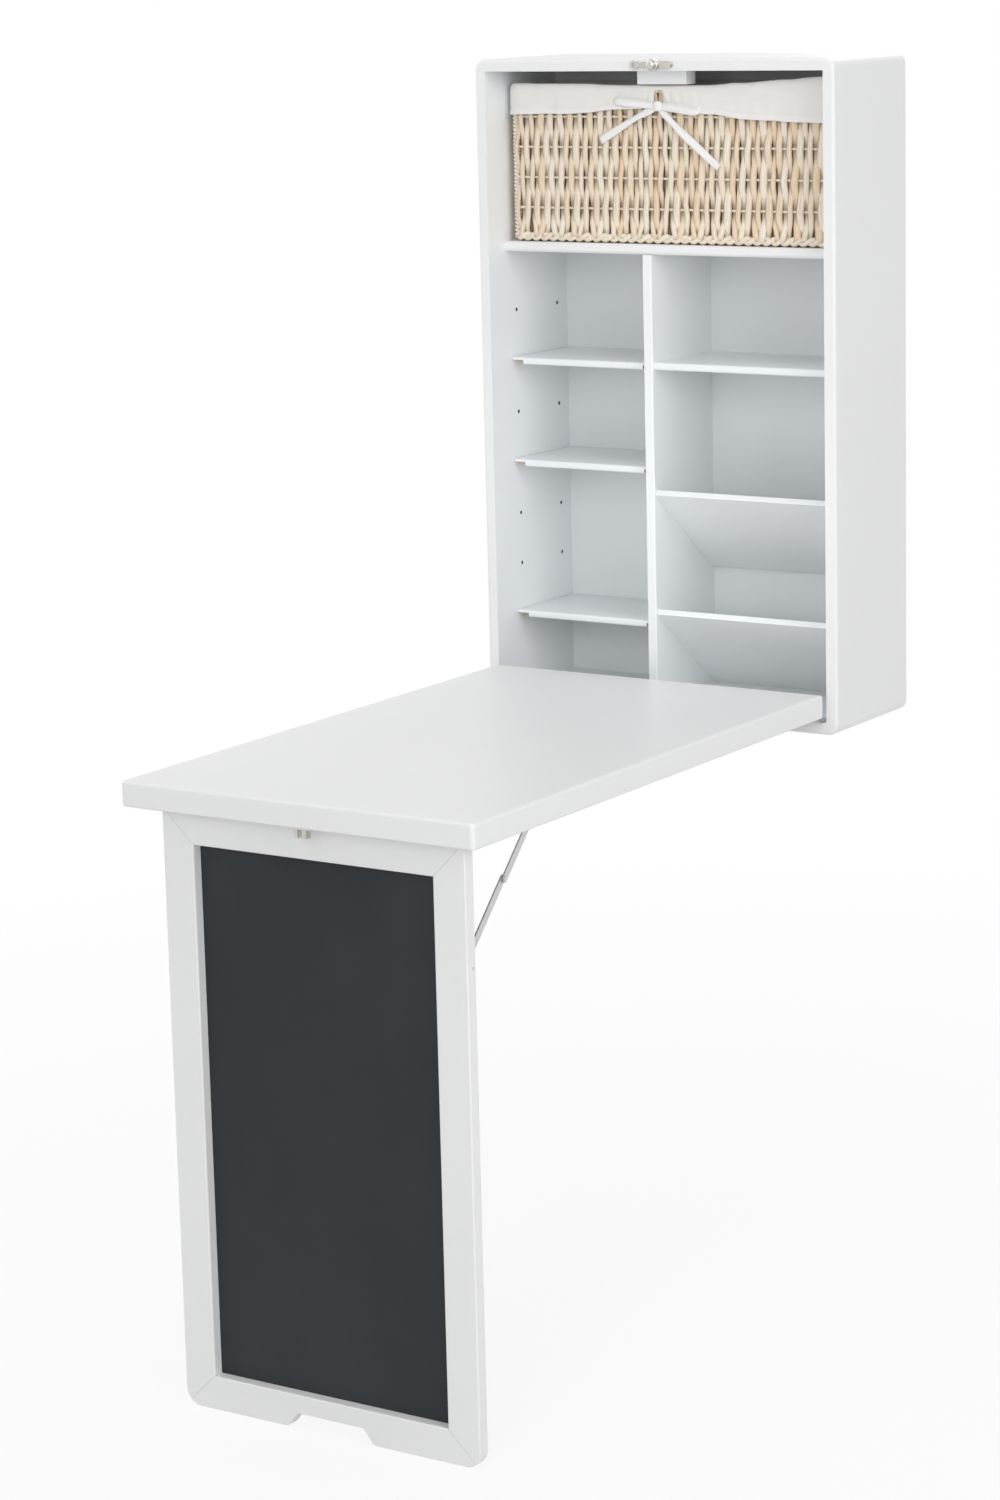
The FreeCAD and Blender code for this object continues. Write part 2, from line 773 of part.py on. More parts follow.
floor_screw_places = [
    (f"{share} * hinge_length / 6", "front + hinge_leaf / 2", "panel + plate_thick")
    for share in (-2.5, -1.5, -0.5, 0.5, 1.5, 2.5)
]
board_screw_places = [
    (f"{share} * hinge_length / 6", "table_back + plate_thick", "board_under + 2 * screw_radius")
    for share in (-1.5, -0.5, 0.5, 1.5)
]
rim_screw_places = [
    (f"{sign} * (table_width - side_rim) / 2", "table_back + plate_thick", "table_under + rim_height / 2")
    for sign in SIDES.values()
]
floor_screw_holes = screw_holes("floor_screw_holes", floor_screw_places, DOWNWARDS)
table_screw_holes = screw_holes("table_screw_holes", board_screw_places + rim_screw_places, TOWARDS_ROOM)
screws("table_hinge_cabinet_screws", floor_screw_places, DOWNWARDS)
screws("table_hinge_table_screws", board_screw_places + rim_screw_places, TOWARDS_ROOM)
cut("table_hinge_cabinet_leaf", cabinet_leaf_bored, floor_screw_holes)
cut("table_hinge_table_leaf", table_leaf_bored, table_screw_holes)
cut("cabinet_bottom", bottom_eased, back_seat, dowel_bores, floor_screw_holes)
for side, rim in rims_eased.items():
    cut(f"table_{side}_rim", rim, table_screw_holes)


# Leg frame and blackboard

opening_top = "leg_height - top_rail_width"


def stile_outline(sign):
    outer, inner = ("0", "stile_width") if sign < 0 else ("stile_width", "0")
    return [
        (outer, "0"),
        (inner, "bottom_rail_width"),
        (inner, opening_top),
        (outer, f"{opening_top} + stile_width"),
    ]


top_rail_outline = [
    ("stile_width", "0"),
    ("leg_width - stile_width", "0"),
    ("leg_width", "stile_width"),
    ("leg_width", "top_rail_width"),
    ("0", "top_rail_width"),
    ("0", "stile_width"),
]
bottom_rail_outline = [
    ("0", "0"),
    ("(leg_width - notch_width) / 2", "0"),
    ("(leg_width - notch_top_width) / 2", "notch_height"),
    ("(leg_width + notch_top_width) / 2", "notch_height"),
    ("(leg_width + notch_width) / 2", "0"),
    ("leg_width", "0"),
    ("leg_width - stile_width", "bottom_rail_width"),
    ("stile_width", "bottom_rail_width"),
]

board_seat = box(
    "board_seat",
    (
        "opening_width + 2 * (board_lap + back_fit)",
        "leg_thick - board_recess",
        "opening_height + 2 * (board_lap + back_fit)",
    ),
    (
        "-opening_width / 2 - board_lap - back_fit",
        "leg_front + board_recess",
        "opening_foot - board_lap - back_fit",
    ),
)
blackboard = box(
    "blackboard",
    ("opening_width + 2 * board_lap", "blackboard_thick", "opening_height + 2 * board_lap"),
    ("-opening_width / 2 - board_lap", "leg_front + board_recess", "opening_foot - board_lap"),
)


def foot_corner(side, sign):
    start = "leg_width / 2 - foot_round" if sign > 0 else "-leg_width / 2"
    block_size = ("foot_round", "leg_thick", "foot_round")
    block = box(f"{side}_foot_block", block_size, (start, "leg_front", "leg_foot"))
    centre = (f"{sign} * (leg_width / 2 - foot_round)", "leg_front", "leg_foot + foot_round")
    curve = rod(f"{side}_foot_curve", "foot_round", "leg_thick", centre, ALONG_Y)
    return cut(f"{side}_foot_corner", block, curve)


foot_corners = {side: foot_corner(side, sign) for side, sign in SIDES.items()}


def stay_groove(side, sign):
    start = "groove_inner" if sign > 0 else "-groove_outer"
    end = "stay_leg_z - link_half - groove_run_out"
    return box(
        f"{side}_stay_groove", ("groove_width", "groove_depth", f"leg_pivot_z - groove_start - ({end})"),
        (start, "leg_back - groove_depth", end),
    )


def leg_pin(name, sign, extra):
    length = f"groove_wall + groove_width + leg_pin_grip + {extra}"
    start = f"leg_width / 2 - ({length})" if sign > 0 else "-leg_width / 2"
    return rod(name, f"stay_pin + {extra}", length, (start, "stay_leg_y", "stay_leg_z"), ALONG_X)


def stile_edges(sign):
    # the long outer edges, the front edge beside the opening and the front of the rounded foot
    def wanted(edge, whole):
        outer = whole.XMax if sign > 0 else whole.XMin
        at_outer = near(edge.XMin, outer) and near(edge.XMax, outer) and edge.ZLength > whole.ZLength / 2
        at_foot = edge.ZMax < whole.ZMin + number("foot_round")
        upright = near(edge.XLength, 0)
        return at_outer or (front_edges(edge, whole) and (upright or at_foot))
    return wanted


def bottom_rail_edges(edge, whole):
    at_foot = edge.ZMax < whole.ZMin + number("notch_height") + number("edge_ease")
    at_opening = near(edge.ZMin, whole.ZMax)
    return front_edges(edge, whole) and (at_foot or at_opening)


def top_rail_edges(edge, whole):
    return front_edges(edge, whole) and near(edge.ZMax, whole.ZMin)


for side, sign in SIDES.items():
    start = "leg_width / 2 - stile_width" if sign > 0 else "-leg_width / 2"
    stile_blank = slab(
        f"leg_{side}_stile_blank", stile_outline(sign), "leg_thick", (start, "leg_back", "leg_foot"), UPRIGHT,
    )
    stile_cut = cut(
        f"leg_{side}_stile_cut", stile_blank, board_seat, foot_corners[side],
        stay_groove(side, sign), leg_pin(f"{side}_leg_pin_bore", sign, "bore_fit"),
    )
    eased(f"leg_{side}_stile", stile_cut, number("edge_ease"), stile_edges(sign))
stay_leg_pins = group("stay_leg_pins", [leg_pin(f"{side}_leg_pin", sign, "0") for side, sign in SIDES.items()])

bottom_rail_blank = slab(
    "leg_bottom_rail_blank", bottom_rail_outline, "leg_thick",
    ("-leg_width / 2", "leg_back", "leg_foot"), UPRIGHT, corners=NOTCH_CORNERS, radius="notch_round",
)
bottom_rail_cut = cut("leg_bottom_rail_cut", bottom_rail_blank, board_seat, *foot_corners.values())
leg_bottom_rail = eased("leg_bottom_rail", bottom_rail_cut, number("edge_ease"), bottom_rail_edges)
top_rail_blank = slab(
    "leg_top_rail_blank", top_rail_outline, "leg_thick",
    ("-leg_width / 2", "leg_back", "leg_top - top_rail_width"), UPRIGHT,
)


# Leg hinges

leg_leaf_start = "(leg_knuckle + knuckle_room)"
leg_hinge_sizes = ("leg_knuckle", "leg_pin", "leg_hinge_length")
board_leaves = []
leg_leaves = []
leg_hinge_pins = []
mortises = []
board_leaf_places = []
leg_leaf_places = []
for side, sign in SIDES.items():
    start = f"{sign} * leg_hinge_spacing / 2 - leg_hinge_length / 2"
    pivot = ("leg_pivot_y", "leg_pivot_z")
    board_leaves.append(hinge_leaf(
        f"{side}_leg_hinge_board_leaf", pivot, leg_hinge_sizes, start, LEG_HINGE_SEGMENTS, (0, 2),
        ((f"leg_pivot_y + {leg_leaf_start}", "board_under - plate_thick"), ("leg_leaf", "plate_thick")),
        (("leg_pivot_y", "board_under - plate_thick"), (leg_leaf_start, "plate_thick - leaf_lift")),
    ))
    leg_leaves.append(hinge_leaf(
        f"{side}_leg_hinge_leg_leaf", pivot, leg_hinge_sizes, start, LEG_HINGE_SEGMENTS, (1,),
        (
            ("leg_pivot_y - leg_leaf_offset", f"leg_pivot_z - {leg_leaf_start} - leg_leaf"),
            ("plate_thick", "leg_leaf"),
        ),
        (
            ("leg_pivot_y - leg_leaf_offset + leaf_lift", f"leg_pivot_z - {leg_leaf_start}"),
            ("plate_thick - leaf_lift", leg_leaf_start),
        ),
    ))
    leg_hinge_pins.append(rod(f"{side}_leg_hinge_pin", "leg_pin", "leg_hinge_length", (start, *pivot), ALONG_X))
    floor_of_mortise = f"leg_pivot_z - {leg_leaf_start} - leg_leaf - mortise_fit"
    mortises.append(box(
        f"{side}_leg_hinge_mortise",
        (
            "leg_hinge_length + 2 * mortise_fit",
            "leg_leaf_offset + leaf_sink",
            f"leg_top - ({floor_of_mortise})",
        ),
        (f"{start} - mortise_fit", "leg_pivot_y - leg_leaf_offset", floor_of_mortise),
    ))
    for shift in (-1, 1):
        across = f"{sign} * leg_hinge_spacing / 2 + {shift} * leg_hinge_length / 3"
        reach = f"{leg_leaf_start} + leg_leaf / 2"
        board_leaf_places.append((across, f"leg_pivot_y + {reach}", "board_under - plate_thick"))
        leg_leaf_places.append((
            across, "leg_pivot_y - leg_leaf_offset + plate_thick", f"leg_pivot_z - ({reach})",
        ))

board_leaf_holes = screw_holes("board_leaf_holes", board_leaf_places, UPWARDS)
leg_leaf_holes = screw_holes("leg_leaf_holes", leg_leaf_places, TOWARDS_ROOM)
screws("leg_hinge_board_screws", board_leaf_places, UPWARDS)
screws("leg_hinge_leg_screws", leg_leaf_places, TOWARDS_ROOM)
group("leg_hinge_board_leaves", [cut(f"{leaf.Name}_drilled", leaf, board_leaf_holes) for leaf in board_leaves])
group("leg_hinge_leg_leaves", [cut(f"{leaf.Name}_drilled", leaf, leg_leaf_holes) for leaf in leg_leaves])
group("leg_hinge_pins", leg_hinge_pins)
top_rail_cut = cut("leg_top_rail_cut", top_rail_blank, board_seat, *mortises, leg_leaf_holes)
leg_top_rail = eased("leg_top_rail", top_rail_cut, number("edge_ease"), top_rail_edges)


# Folding stays: a bracket under the table, an upper and a lower link, a pin across the leg's groove

def span_of(sign, inner, outer):
    return inner if sign > 0 else f"-({outer})"


def stay_bracket(side, sign):
    ear = box(
        f"{side}_stay_ear", ("plate_thick", "2 * link_half", "board_under - stay_table_z"),
        (span_of(sign, "ear_inner", "ear_outer"), "stay_table_y - link_half", "stay_table_z"),
    )
    nose_of_ear = rod(
        f"{side}_stay_ear_nose", "link_half", "plate_thick",
        (span_of(sign, "ear_inner", "ear_outer"), "stay_table_y", "stay_table_z"), ALONG_X,
    )
    flange = box(
        f"{side}_stay_flange", ("bracket_width", "bracket_length", "plate_thick"),
        (
            span_of(sign, "ear_outer - bracket_width", "ear_outer"),
            "stay_table_y - bracket_length / 2",
            "board_under - plate_thick",
        ),
    )
    bore = rod(
        f"{side}_stay_ear_bore", "stay_pin + bore_fit", "plate_thick",
        (span_of(sign, "ear_inner", "ear_outer"), "stay_table_y", "stay_table_z"), ALONG_X,
    )
    return cut(f"{side}_stay_bracket", fuse(f"{side}_stay_bracket_form", [ear, nose_of_ear, flange]), bore)


brackets = [stay_bracket(side, sign) for side, sign in SIDES.items()]
bracket_places = [
    (
        f"{sign} * (ear_outer - bracket_width / 2 - plate_thick)",
        f"stay_table_y + {shift} * (bracket_length / 2 - 2 * screw_radius)",
        "board_under - plate_thick",
    )
    for sign in SIDES.values() for shift in (-1, 1)
]
bracket_holes = screw_holes("bracket_holes", bracket_places, UPWARDS)
screws("stay_bracket_screws", bracket_places, UPWARDS)
group("stay_table_brackets", [cut(f"{bracket.Name}_drilled", bracket, bracket_holes) for bracket in brackets])
group("stay_bracket_rivets", [
    rod(
        f"{side}_stay_rivet", "stay_pin", "ear_outer - upper_inner",
        (span_of(sign, "upper_inner", "ear_outer"), "stay_table_y", "stay_table_z"), ALONG_X,
    )
    for side, sign in SIDES.items()
])

OPEN_ANGLE = 45


def link(name, length, start, pivot, lean):
    # drawn flat along its own length, stood up across the hinge axis, then leaned over at 45 degrees,
    # so the outline's first corner lies level with the pivot
    stand = FreeCAD.Rotation(FreeCAD.Vector(1, 0, 0), lean)
    turn = stand.multiply(FreeCAD.Rotation(FreeCAD.Vector(0, 1, 0), 90))
    blank = slab(
        f"{name}_blank", rectangle("2 * link_half", f"{length} + 2 * link_half"), "link_thick",
        (start, *pivot), turn,
        holes=[
            ("link_half", "link_half", "stay_pin + bore_fit"),
            ("link_half", f"link_half + {length}", "stay_pin + bore_fit"),
        ],
        corners=ALL_CORNERS, radius="link_half - end_flat",
    )
    return blank


for side, sign in SIDES.items():
    upper_start = span_of(sign, "upper_inner", "upper_outer")
    lower_start = span_of(sign, "lower_inner", "lower_outer")
    upper_place = ("stay_table_y + link_half * sqrt(2)", "stay_table_z")
    lower_place = ("stay_leg_y - link_half * sqrt(2)", "stay_leg_z")
    upper = link(f"{side}_upper_link", "upper_link", upper_start, upper_place, 180 + OPEN_ANGLE)
    lower = link(f"{side}_lower_link", "lower_link", lower_start, lower_place, OPEN_ANGLE)
    upper.Label = f"{side}_upper_link"
    lower.Label = f"{side}_lower_link"
    knee_y = "stay_table_y - upper_link * sqrt(0.5)"
    knee_z = "stay_table_z - upper_link * sqrt(0.5)"
    shank = rod(
        f"{side}_knee_shank", "stay_pin", "link_thick",
        (span_of(sign, "upper_inner", "upper_outer"), knee_y, knee_z), ALONG_X,
    )
    head = rod(
        f"{side}_knee_head", "rivet_head", "rivet_rise",
        (span_of(sign, "upper_outer", "upper_outer + rivet_rise"), knee_y, knee_z), ALONG_X,
    )
    fuse(f"{side}_knee_rivet", [shank, head])


# Turn latch on the cabinet's top edge, and the forked keeper under the table's front rim

plate_start = "latch_offset + latch_plate_shift - latch_plate_length / 2"
latch_plate = slab(
    "latch_plate", rectangle("latch_plate_length", "latch_plate_height"), "plate_thick",
    (plate_start, "front", "latch_z - latch_plate_height / 2"), UPRIGHT,
    corners=ALL_CORNERS, radius="latch_plate_height / 2 - end_flat",
)
latch_stud = rod(
    "latch_stud_rod", "latch_stud", "plate_thick + latch_gap + latch_arm_thick + knob_height / 2",
    ("latch_offset", "front", "latch_z"), TOWARDS_ROOM,
)
latch_places = [
    (f"{plate_start} + {share} * latch_plate_length", "front - plate_thick", "latch_z")
    for share in PLATE_SCREW_SHARES
]
latch_holes = screw_holes("latch_holes", latch_places, INTO_WALL)
screws("latch_screws", latch_places, INTO_WALL)
cut("latch_base", fuse("latch_base_form", [latch_plate, latch_stud]), latch_holes)
cut("cabinet_top", top_eased, back_seat, dowel_bores, latch_holes)


def latch_disc(name, radius, shift):
    return rod(
        name, radius, "latch_arm_thick", (f"latch_offset + {shift}", "arm_front", "latch_z"), ALONG_Y,
    )


latch_form = fuse("latch_arm_form", [
    latch_disc("latch_arm_hub", "latch_hub", "0"),
    latch_disc("latch_arm_ring", "latch_ring", "-latch_reach"),
    latch_disc("latch_arm_tail_end", "latch_tail_half", "latch_tail"),
    box(
        "latch_arm_neck", ("latch_reach", "latch_arm_thick", "latch_neck"),
        ("latch_offset - latch_reach", "arm_front", "latch_z - latch_neck / 2"),
    ),
    box(
        "latch_arm_tail", ("latch_tail", "latch_arm_thick", "2 * latch_tail_half"),
        ("latch_offset", "arm_front", "latch_z - latch_tail_half"),
    ),
])
latch_arm = cut(
    "latch_arm", latch_form,
    latch_disc("latch_arm_bore", "latch_stud + bore_fit", "0"),
    latch_disc("latch_arm_eye", "latch_eye", "-latch_reach"),
)
knob_flange = rod(
    "latch_knob_flange", "knob_radius", "knob_flange",
    ("latch_offset", "arm_front - knob_flange", "latch_z"), ALONG_Y,
)
knob_cap = rod(
    "latch_knob_cap", "knob_cap", "knob_height",
    ("latch_offset", "arm_front - knob_height", "latch_z"), ALONG_Y,
)
knob_bore = rod(
    "latch_knob_bore", "latch_stud + bore_fit", "knob_height / 2 + latch_gap",
    ("latch_offset", "arm_front", "latch_z"), TOWARDS_ROOM,
)
flange_ease = min(number("flange_ease"), number("knob_flange") / 2)
flange_eased = eased("latch_knob_flange_eased", knob_flange, flange_ease, front_edges)
knob_ease = min(number("knob_ease"), number("knob_cap") - 1)
cap_eased = eased("latch_knob_cap_eased", knob_cap, knob_ease, front_edges)
latch_knob = cut("latch_knob", fuse("latch_knob_form", [flange_eased, cap_eased]), knob_bore)

keeper_plate = box(
    "keeper_plate", ("keeper_width + 2 * keeper_wing", "lug_length", "plate_thick"),
    (
        "latch_offset - keeper_width / 2 - keeper_wing",
        "table_front + keeper_inset",
        "table_under - plate_thick",
    ),
)
keeper_lugs = [
    box(
        f"keeper_lug_{side}", ("lug_thick", "lug_length", "lug_height"),
        (
            f"latch_offset + {span_of(sign, 'lug_slot / 2', 'lug_slot / 2 + lug_thick')}",
            "table_front + keeper_inset",
            "table_under - plate_thick - lug_height",
        ),
    )
    for side, sign in SIDES.items()
]
keeper_places = [
    (
        f"latch_offset + {sign} * (keeper_width + keeper_wing) / 2",
        "table_front + keeper_inset + lug_length / 2",
        "table_under - plate_thick",
    )
    for sign in SIDES.values()
]
keeper_holes = screw_holes("keeper_holes", keeper_places, UPWARDS)
screws("keeper_screws", keeper_places, UPWARDS)
cut("latch_keeper", fuse("latch_keeper_form", [keeper_plate, *keeper_lugs]), keeper_holes)
cut("table_front_rim", front_rim_eased, keeper_holes)
cut("table_board", table_eased, table_screw_holes, board_leaf_holes, bracket_holes)


# Basket, cotton liner and ribbon bow

def basket_block(name, grow, low, high):
    width = f"basket_width + 2 * ({grow})"
    depth = f"basket_depth + 2 * ({grow})"
    return slab(
        name, rectangle(width, depth), f"({high}) - ({low})",
        (f"-basket_width / 2 - ({grow})", f"basket_front - ({grow})", low),
        corners=ALL_CORNERS, radius=f"basket_round + ({grow})",
    )


basket_outer = basket_block("basket_outer", "0", "basket_shelf_top", "basket_rim")
basket_inner = basket_block("basket_inner", "-basket_wall", "basket_shelf_top + basket_wall", "basket_rim")
basket = cut("basket", basket_outer, basket_inner)

liner_top = "basket_rim + liner_gap + liner_thick"
skirt_foot = "basket_rim - liner_skirt"
liner_outer = basket_block("liner_outer", "liner_gap + liner_thick", skirt_foot, liner_top)
liner_over_rim = basket_block("liner_over_rim", "liner_gap", skirt_foot, "basket_rim + liner_gap")
liner_bag = basket_block(
    "liner_bag", "-basket_wall - liner_gap", "basket_shelf_top + basket_wall + liner_gap", liner_top,
)
liner_inside = basket_block(
    "liner_inside", "-basket_wall - liner_gap - liner_thick",
    "basket_shelf_top + basket_wall + liner_gap + liner_thick", liner_top,
)
liner_shell = fuse("liner_shell", [cut("liner_hood", liner_outer, liner_over_rim), liner_bag])
basket_liner = cut("basket_liner", liner_shell, liner_inside)

knot_x = "left_tail_run"
knot_y = "right_tail_drop"
bow_outline = [
    ("0", f"{knot_y} - left_tail_drop - ribbon_width / 2"),
    (f"{knot_x} - knot_half", f"{knot_y} - knot_half"),
    (f"{knot_x} + knot_half / 2", f"{knot_y} - knot_half"),
    ("bow_width - ribbon_width", "0"),
    ("bow_width", "ribbon_width / 2"),
    (f"{knot_x} + knot_half", f"{knot_y} - knot_half / 4"),
    (f"{knot_x} + loop_length * {LOOP_BELLY}", f"{knot_y} - loop_half / 2"),
    (f"{knot_x} + loop_length", f"{knot_y} + loop_half / 2"),
    (f"{knot_x} + loop_length * {LOOP_SHOULDER}", f"{knot_y} + loop_half"),
    (f"{knot_x} + knot_half", f"{knot_y} + knot_half"),
    (f"{knot_x} - knot_half", f"{knot_y} + knot_half"),
    (f"{knot_x} - loop_length * {LOOP_SHOULDER}", f"{knot_y} + loop_half"),
    (f"{knot_x} - loop_length", f"{knot_y} + loop_half / 2"),
    (f"{knot_x} - loop_length * {LOOP_BELLY}", f"{knot_y} - loop_half / 4"),
    (f"{knot_x} - knot_half", f"{knot_y} - knot_half / 4"),
    ("0", f"{knot_y} - left_tail_drop + ribbon_width / 2"),
]
ribbon_bow = slab(
    "ribbon_bow", bow_outline, "ribbon_thick",
    (
        "-bow_offset - left_tail_run", "skirt_front",
        "basket_shelf_top + bow_height - right_tail_drop",
    ),
    UPRIGHT,
)


# Checks and export

NODES = [
    "cabinet_left_side", "cabinet_right_side", "cabinet_top", "cabinet_bottom", "back_board", "hanging_rail",
    "corner_dowels", "basket_shelf", "centre_divider", "right_shelf", "lower_bin_board", "upper_bin_board",
    *SHELF_ROWS, "shelf_pins", "stop_block", "latch_base", "latch_screws", "latch_arm", "latch_knob",
    "basket", "basket_liner", "ribbon_bow",
    "table_hinge_cabinet_leaf", "table_hinge_pin", "table_hinge_cabinet_screws",
    "table_hinge_table_leaf", "table_hinge_table_screws",
    "table_board", "table_front_rim", "table_left_rim", "table_right_rim", "latch_keeper", "keeper_screws",
    "leg_hinge_board_leaves", "leg_hinge_board_screws", "leg_hinge_pins",
    "stay_table_brackets", "stay_bracket_screws", "stay_bracket_rivets",
    "leg_left_stile", "leg_right_stile", "leg_top_rail", "leg_bottom_rail", "blackboard",
    "leg_hinge_leg_leaves", "leg_hinge_leg_screws", "stay_leg_pins",
    *[f"{side}_{piece}" for side in SIDES for piece in ("upper_link", "lower_link", "knee_rivet")],
]

doc.recompute()
failed = [item.Label for item in doc.Objects if "Invalid" in item.State or "Error" in item.State]
if failed:
    raise RuntimeError(f"these objects failed: {failed}")
os.makedirs("parts", exist_ok=True)
for node in NODES:
    shape = doc.getObjectsByLabel(node)[0].Shape
    if shape.isNull() or not shape.isValid():
        raise RuntimeError(f"{node} has no valid shape")
for node in NODES:
    shape = doc.getObjectsByLabel(node)[0].Shape
    shape.exportStep(f"parts/{node}.step")
    print(f"{node}: {len(shape.Solids)} solids, {shape.Volume:.0f} mm3")
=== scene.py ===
import bmesh
import bpy
import json
import math
from mathutils import Matrix, Vector, noise


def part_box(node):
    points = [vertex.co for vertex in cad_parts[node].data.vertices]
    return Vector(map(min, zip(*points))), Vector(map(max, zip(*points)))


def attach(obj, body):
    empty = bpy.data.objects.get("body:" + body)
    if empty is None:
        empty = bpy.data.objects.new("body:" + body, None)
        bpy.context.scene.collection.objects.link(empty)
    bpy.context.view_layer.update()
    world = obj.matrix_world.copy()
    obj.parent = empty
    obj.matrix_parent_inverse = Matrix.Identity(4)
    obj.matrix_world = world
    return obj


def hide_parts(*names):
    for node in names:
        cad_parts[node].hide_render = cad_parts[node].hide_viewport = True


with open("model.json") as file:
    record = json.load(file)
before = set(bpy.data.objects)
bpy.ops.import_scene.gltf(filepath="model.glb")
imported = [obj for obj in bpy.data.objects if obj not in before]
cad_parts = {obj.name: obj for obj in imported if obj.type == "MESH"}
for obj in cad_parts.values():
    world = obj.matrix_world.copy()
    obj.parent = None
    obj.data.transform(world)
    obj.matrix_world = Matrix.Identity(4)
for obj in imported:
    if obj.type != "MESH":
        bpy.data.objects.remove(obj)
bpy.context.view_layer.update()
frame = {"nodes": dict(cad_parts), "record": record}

nodes = frame["nodes"]
scene = bpy.context.scene
print("frame:", len(nodes), "nodes")


class Val:  # a socket that reads as a number in expressions
    def __init__(self, board, socket):
        self.board = board
        self.socket = socket

    def sibling(self, name):  # another output of the same node
        return Val(self.board, self.socket.node.outputs[name])

    __add__ = __radd__ = lambda self, other: self.board.maths("ADD", self, other)
    __mul__ = __rmul__ = lambda self, other: self.board.maths("MULTIPLY", self, other)
    __sub__ = lambda self, other: self.board.maths("SUBTRACT", self, other)
    __rsub__ = lambda self, other: self.board.maths("SUBTRACT", other, self)
    __truediv__ = lambda self, other: self.board.maths("DIVIDE", self, other)
    __lt__ = lambda self, other: self.board.maths("LESS_THAN", self, other)
    __gt__ = lambda self, other: self.board.maths("GREATER_THAN", self, other)


class Board:  # any node tree; one method adds any node
    def __init__(self, tree):
        self.tree = tree

    def feed(self, socket, value):
        if isinstance(value, Val):
            self.tree.links.new(value.socket, socket)
        else:
            socket.default_value = value

    def node(self, kind, inputs=None, output=0, **settings):
        made = self.tree.nodes.new(kind)
        for key, value in settings.items():
            setattr(made, key, value)
        for key, value in (inputs or {}).items():
            self.feed(made.inputs[key], value)
        return Val(self, made.outputs[output])

    def maths(self, operation, first, second=0.0):
        return self.node("ShaderNodeMath", {0: first, 1: second}, operation=operation)

    def absolute(self, value):
        return self.maths("ABSOLUTE", value)

    def larger(self, first, second):
        return self.maths("MAXIMUM", first, second)

    def cosine(self, value):
        return self.maths("COSINE", value)

    def sine(self, value):
        return self.maths("SINE", value)

    def part(self, vector, index):
        return self.node("ShaderNodeSeparateXYZ", {"Vector": vector}, index)

    def point(self, x=0.0, y=0.0, z=0.0):
        return self.node("ShaderNodeCombineXYZ", {"X": x, "Y": y, "Z": z})

    def vectors(self, operation, inputs, output=0):
        return self.node("ShaderNodeVectorMath", inputs, output, operation=operation)

    def scaled(self, vector, amount):
        return self.vectors("SCALE", {0: vector, "Scale": amount})

    def summed(self, first, second):
        return self.vectors("ADD", {0: first, 1: second})

    def mix(self, factor, first, second):
        tones = [tone if isinstance(tone, Val) else (*tone, 1.0) for tone in (first, second)]
        return self.node("ShaderNodeMix", {0: factor, 6: tones[0], 7: tones[1]}, 2, data_type="RGBA")

    def seen(self):  # one where the camera sees it, straight or mirrored
        camera = self.node("ShaderNodeLightPath", output="Is Camera Ray")
        mirrored = self.larger(camera, camera.sibling("Is Glossy Ray"))
        return self.larger(mirrored, camera.sibling("Is Transmission Ray"))


class Finish(Board):  # one surface finish
    def __init__(self, name):
        self.material = bpy.data.materials.new(name)
        self.material.use_nodes = True
        super().__init__(self.material.node_tree)
        self.shader = self.tree.nodes["Principled BSDF"]
        self.spot = self.node("ShaderNodeTexCoord", output="Object")

    def axis(self, index):
        return self.part(self.spot, index)

    def attribute(self, name, output="Fac"):
        return self.node("ShaderNodeAttribute", None, output, attribute_name=name)

    def grain(self, scale, detail, stretch=(1, 1, 1), spot=None):
        vector = self.node("ShaderNodeMapping", {"Vector": spot or self.spot, "Scale": stretch})
        return self.node("ShaderNodeTexNoise", {"Vector": vector, "Scale": scale, "Detail": detail})

    def ramp(self, value, stops):
        made = self.node("ShaderNodeValToRGB", {"Fac": value})
        elements = made.socket.node.color_ramp.elements
        while len(elements) < len(stops):
            elements.new(1.0)
        for element, (place, colour) in zip(elements, stops):
            element.position = place
            element.color = (*colour, 1.0)
        return made

    def bump(self, height, strength, distance):
        sizes = {"Height": height, "Strength": strength, "Distance": distance}
        return self.node("ShaderNodeBump", sizes)

    def dress(self, colour, grain, look, height=None):  # roughness and relief from one grain
        more = {key: look[key] for key in ("specular", "sheen") if key in look}
        rough = look["rough"] + grain * look["spread"]
        normal = self.bump(height or grain, *look["bump"])
        return self.lay(colour=colour, roughness=rough, normal=normal, **more)

    def lay(self, **sockets):
        names = {
            "colour": "Base Color", "roughness": "Roughness", "metallic": "Metallic", "normal": "Normal",
            "sheen": "Sheen Weight", "specular": "Specular IOR Level",
        }
        for key, value in sockets.items():
            self.feed(self.shader.inputs[names[key]], value)
        return self.material


# white paint: neutral outside; inside the cabinet a cooler, brighter white that is painted light, standing
# in for the bluish fill there; on the back board a greyer white that is painted shade

paintLook = {
    "body": (0.833, 0.833, 0.833), "shade": (0.795, 0.795, 0.795), "shaded": 0.8,
    "rough": 0.36, "spread": 0.1, "specular": 0.45,
    "cloud": (5.0, 4.0), "peel": (520.0, 2.0), "roller": (95.0, 3.0),  # scale and detail of each grain
    "peelShare": 0.6, "bump": (0.12, 0.0004),
}
# painted shade: the back board's white is greyer and darker than the sides' white
backShadeLook = {**paintLook, "body": (0.742, 0.766, 0.78), "shade": (0.707, 0.731, 0.745), "rough": 0.4}
# painted light: a cooler, brighter white inside the cabinet, where the fill light is bluish; the four limits
# mark the inside
bayLightLook = {
    "body": (0.852, 0.874, 0.888), "shade": (0.814, 0.836, 0.85),
    "half": 0.2402, "front": -0.1875, "floor": -0.7592, "roof": 0.0352,
}


def insideBays(paint):  # one inside the cabinet, nought on its outer faces
    across = paint.absolute(paint.axis(0)) < bayLightLook["half"]
    height = paint.axis(2)
    level = (height > bayLightLook["floor"]) * (height < bayLightLook["roof"])
    return across * (paint.axis(1) > bayLightLook["front"]) * level


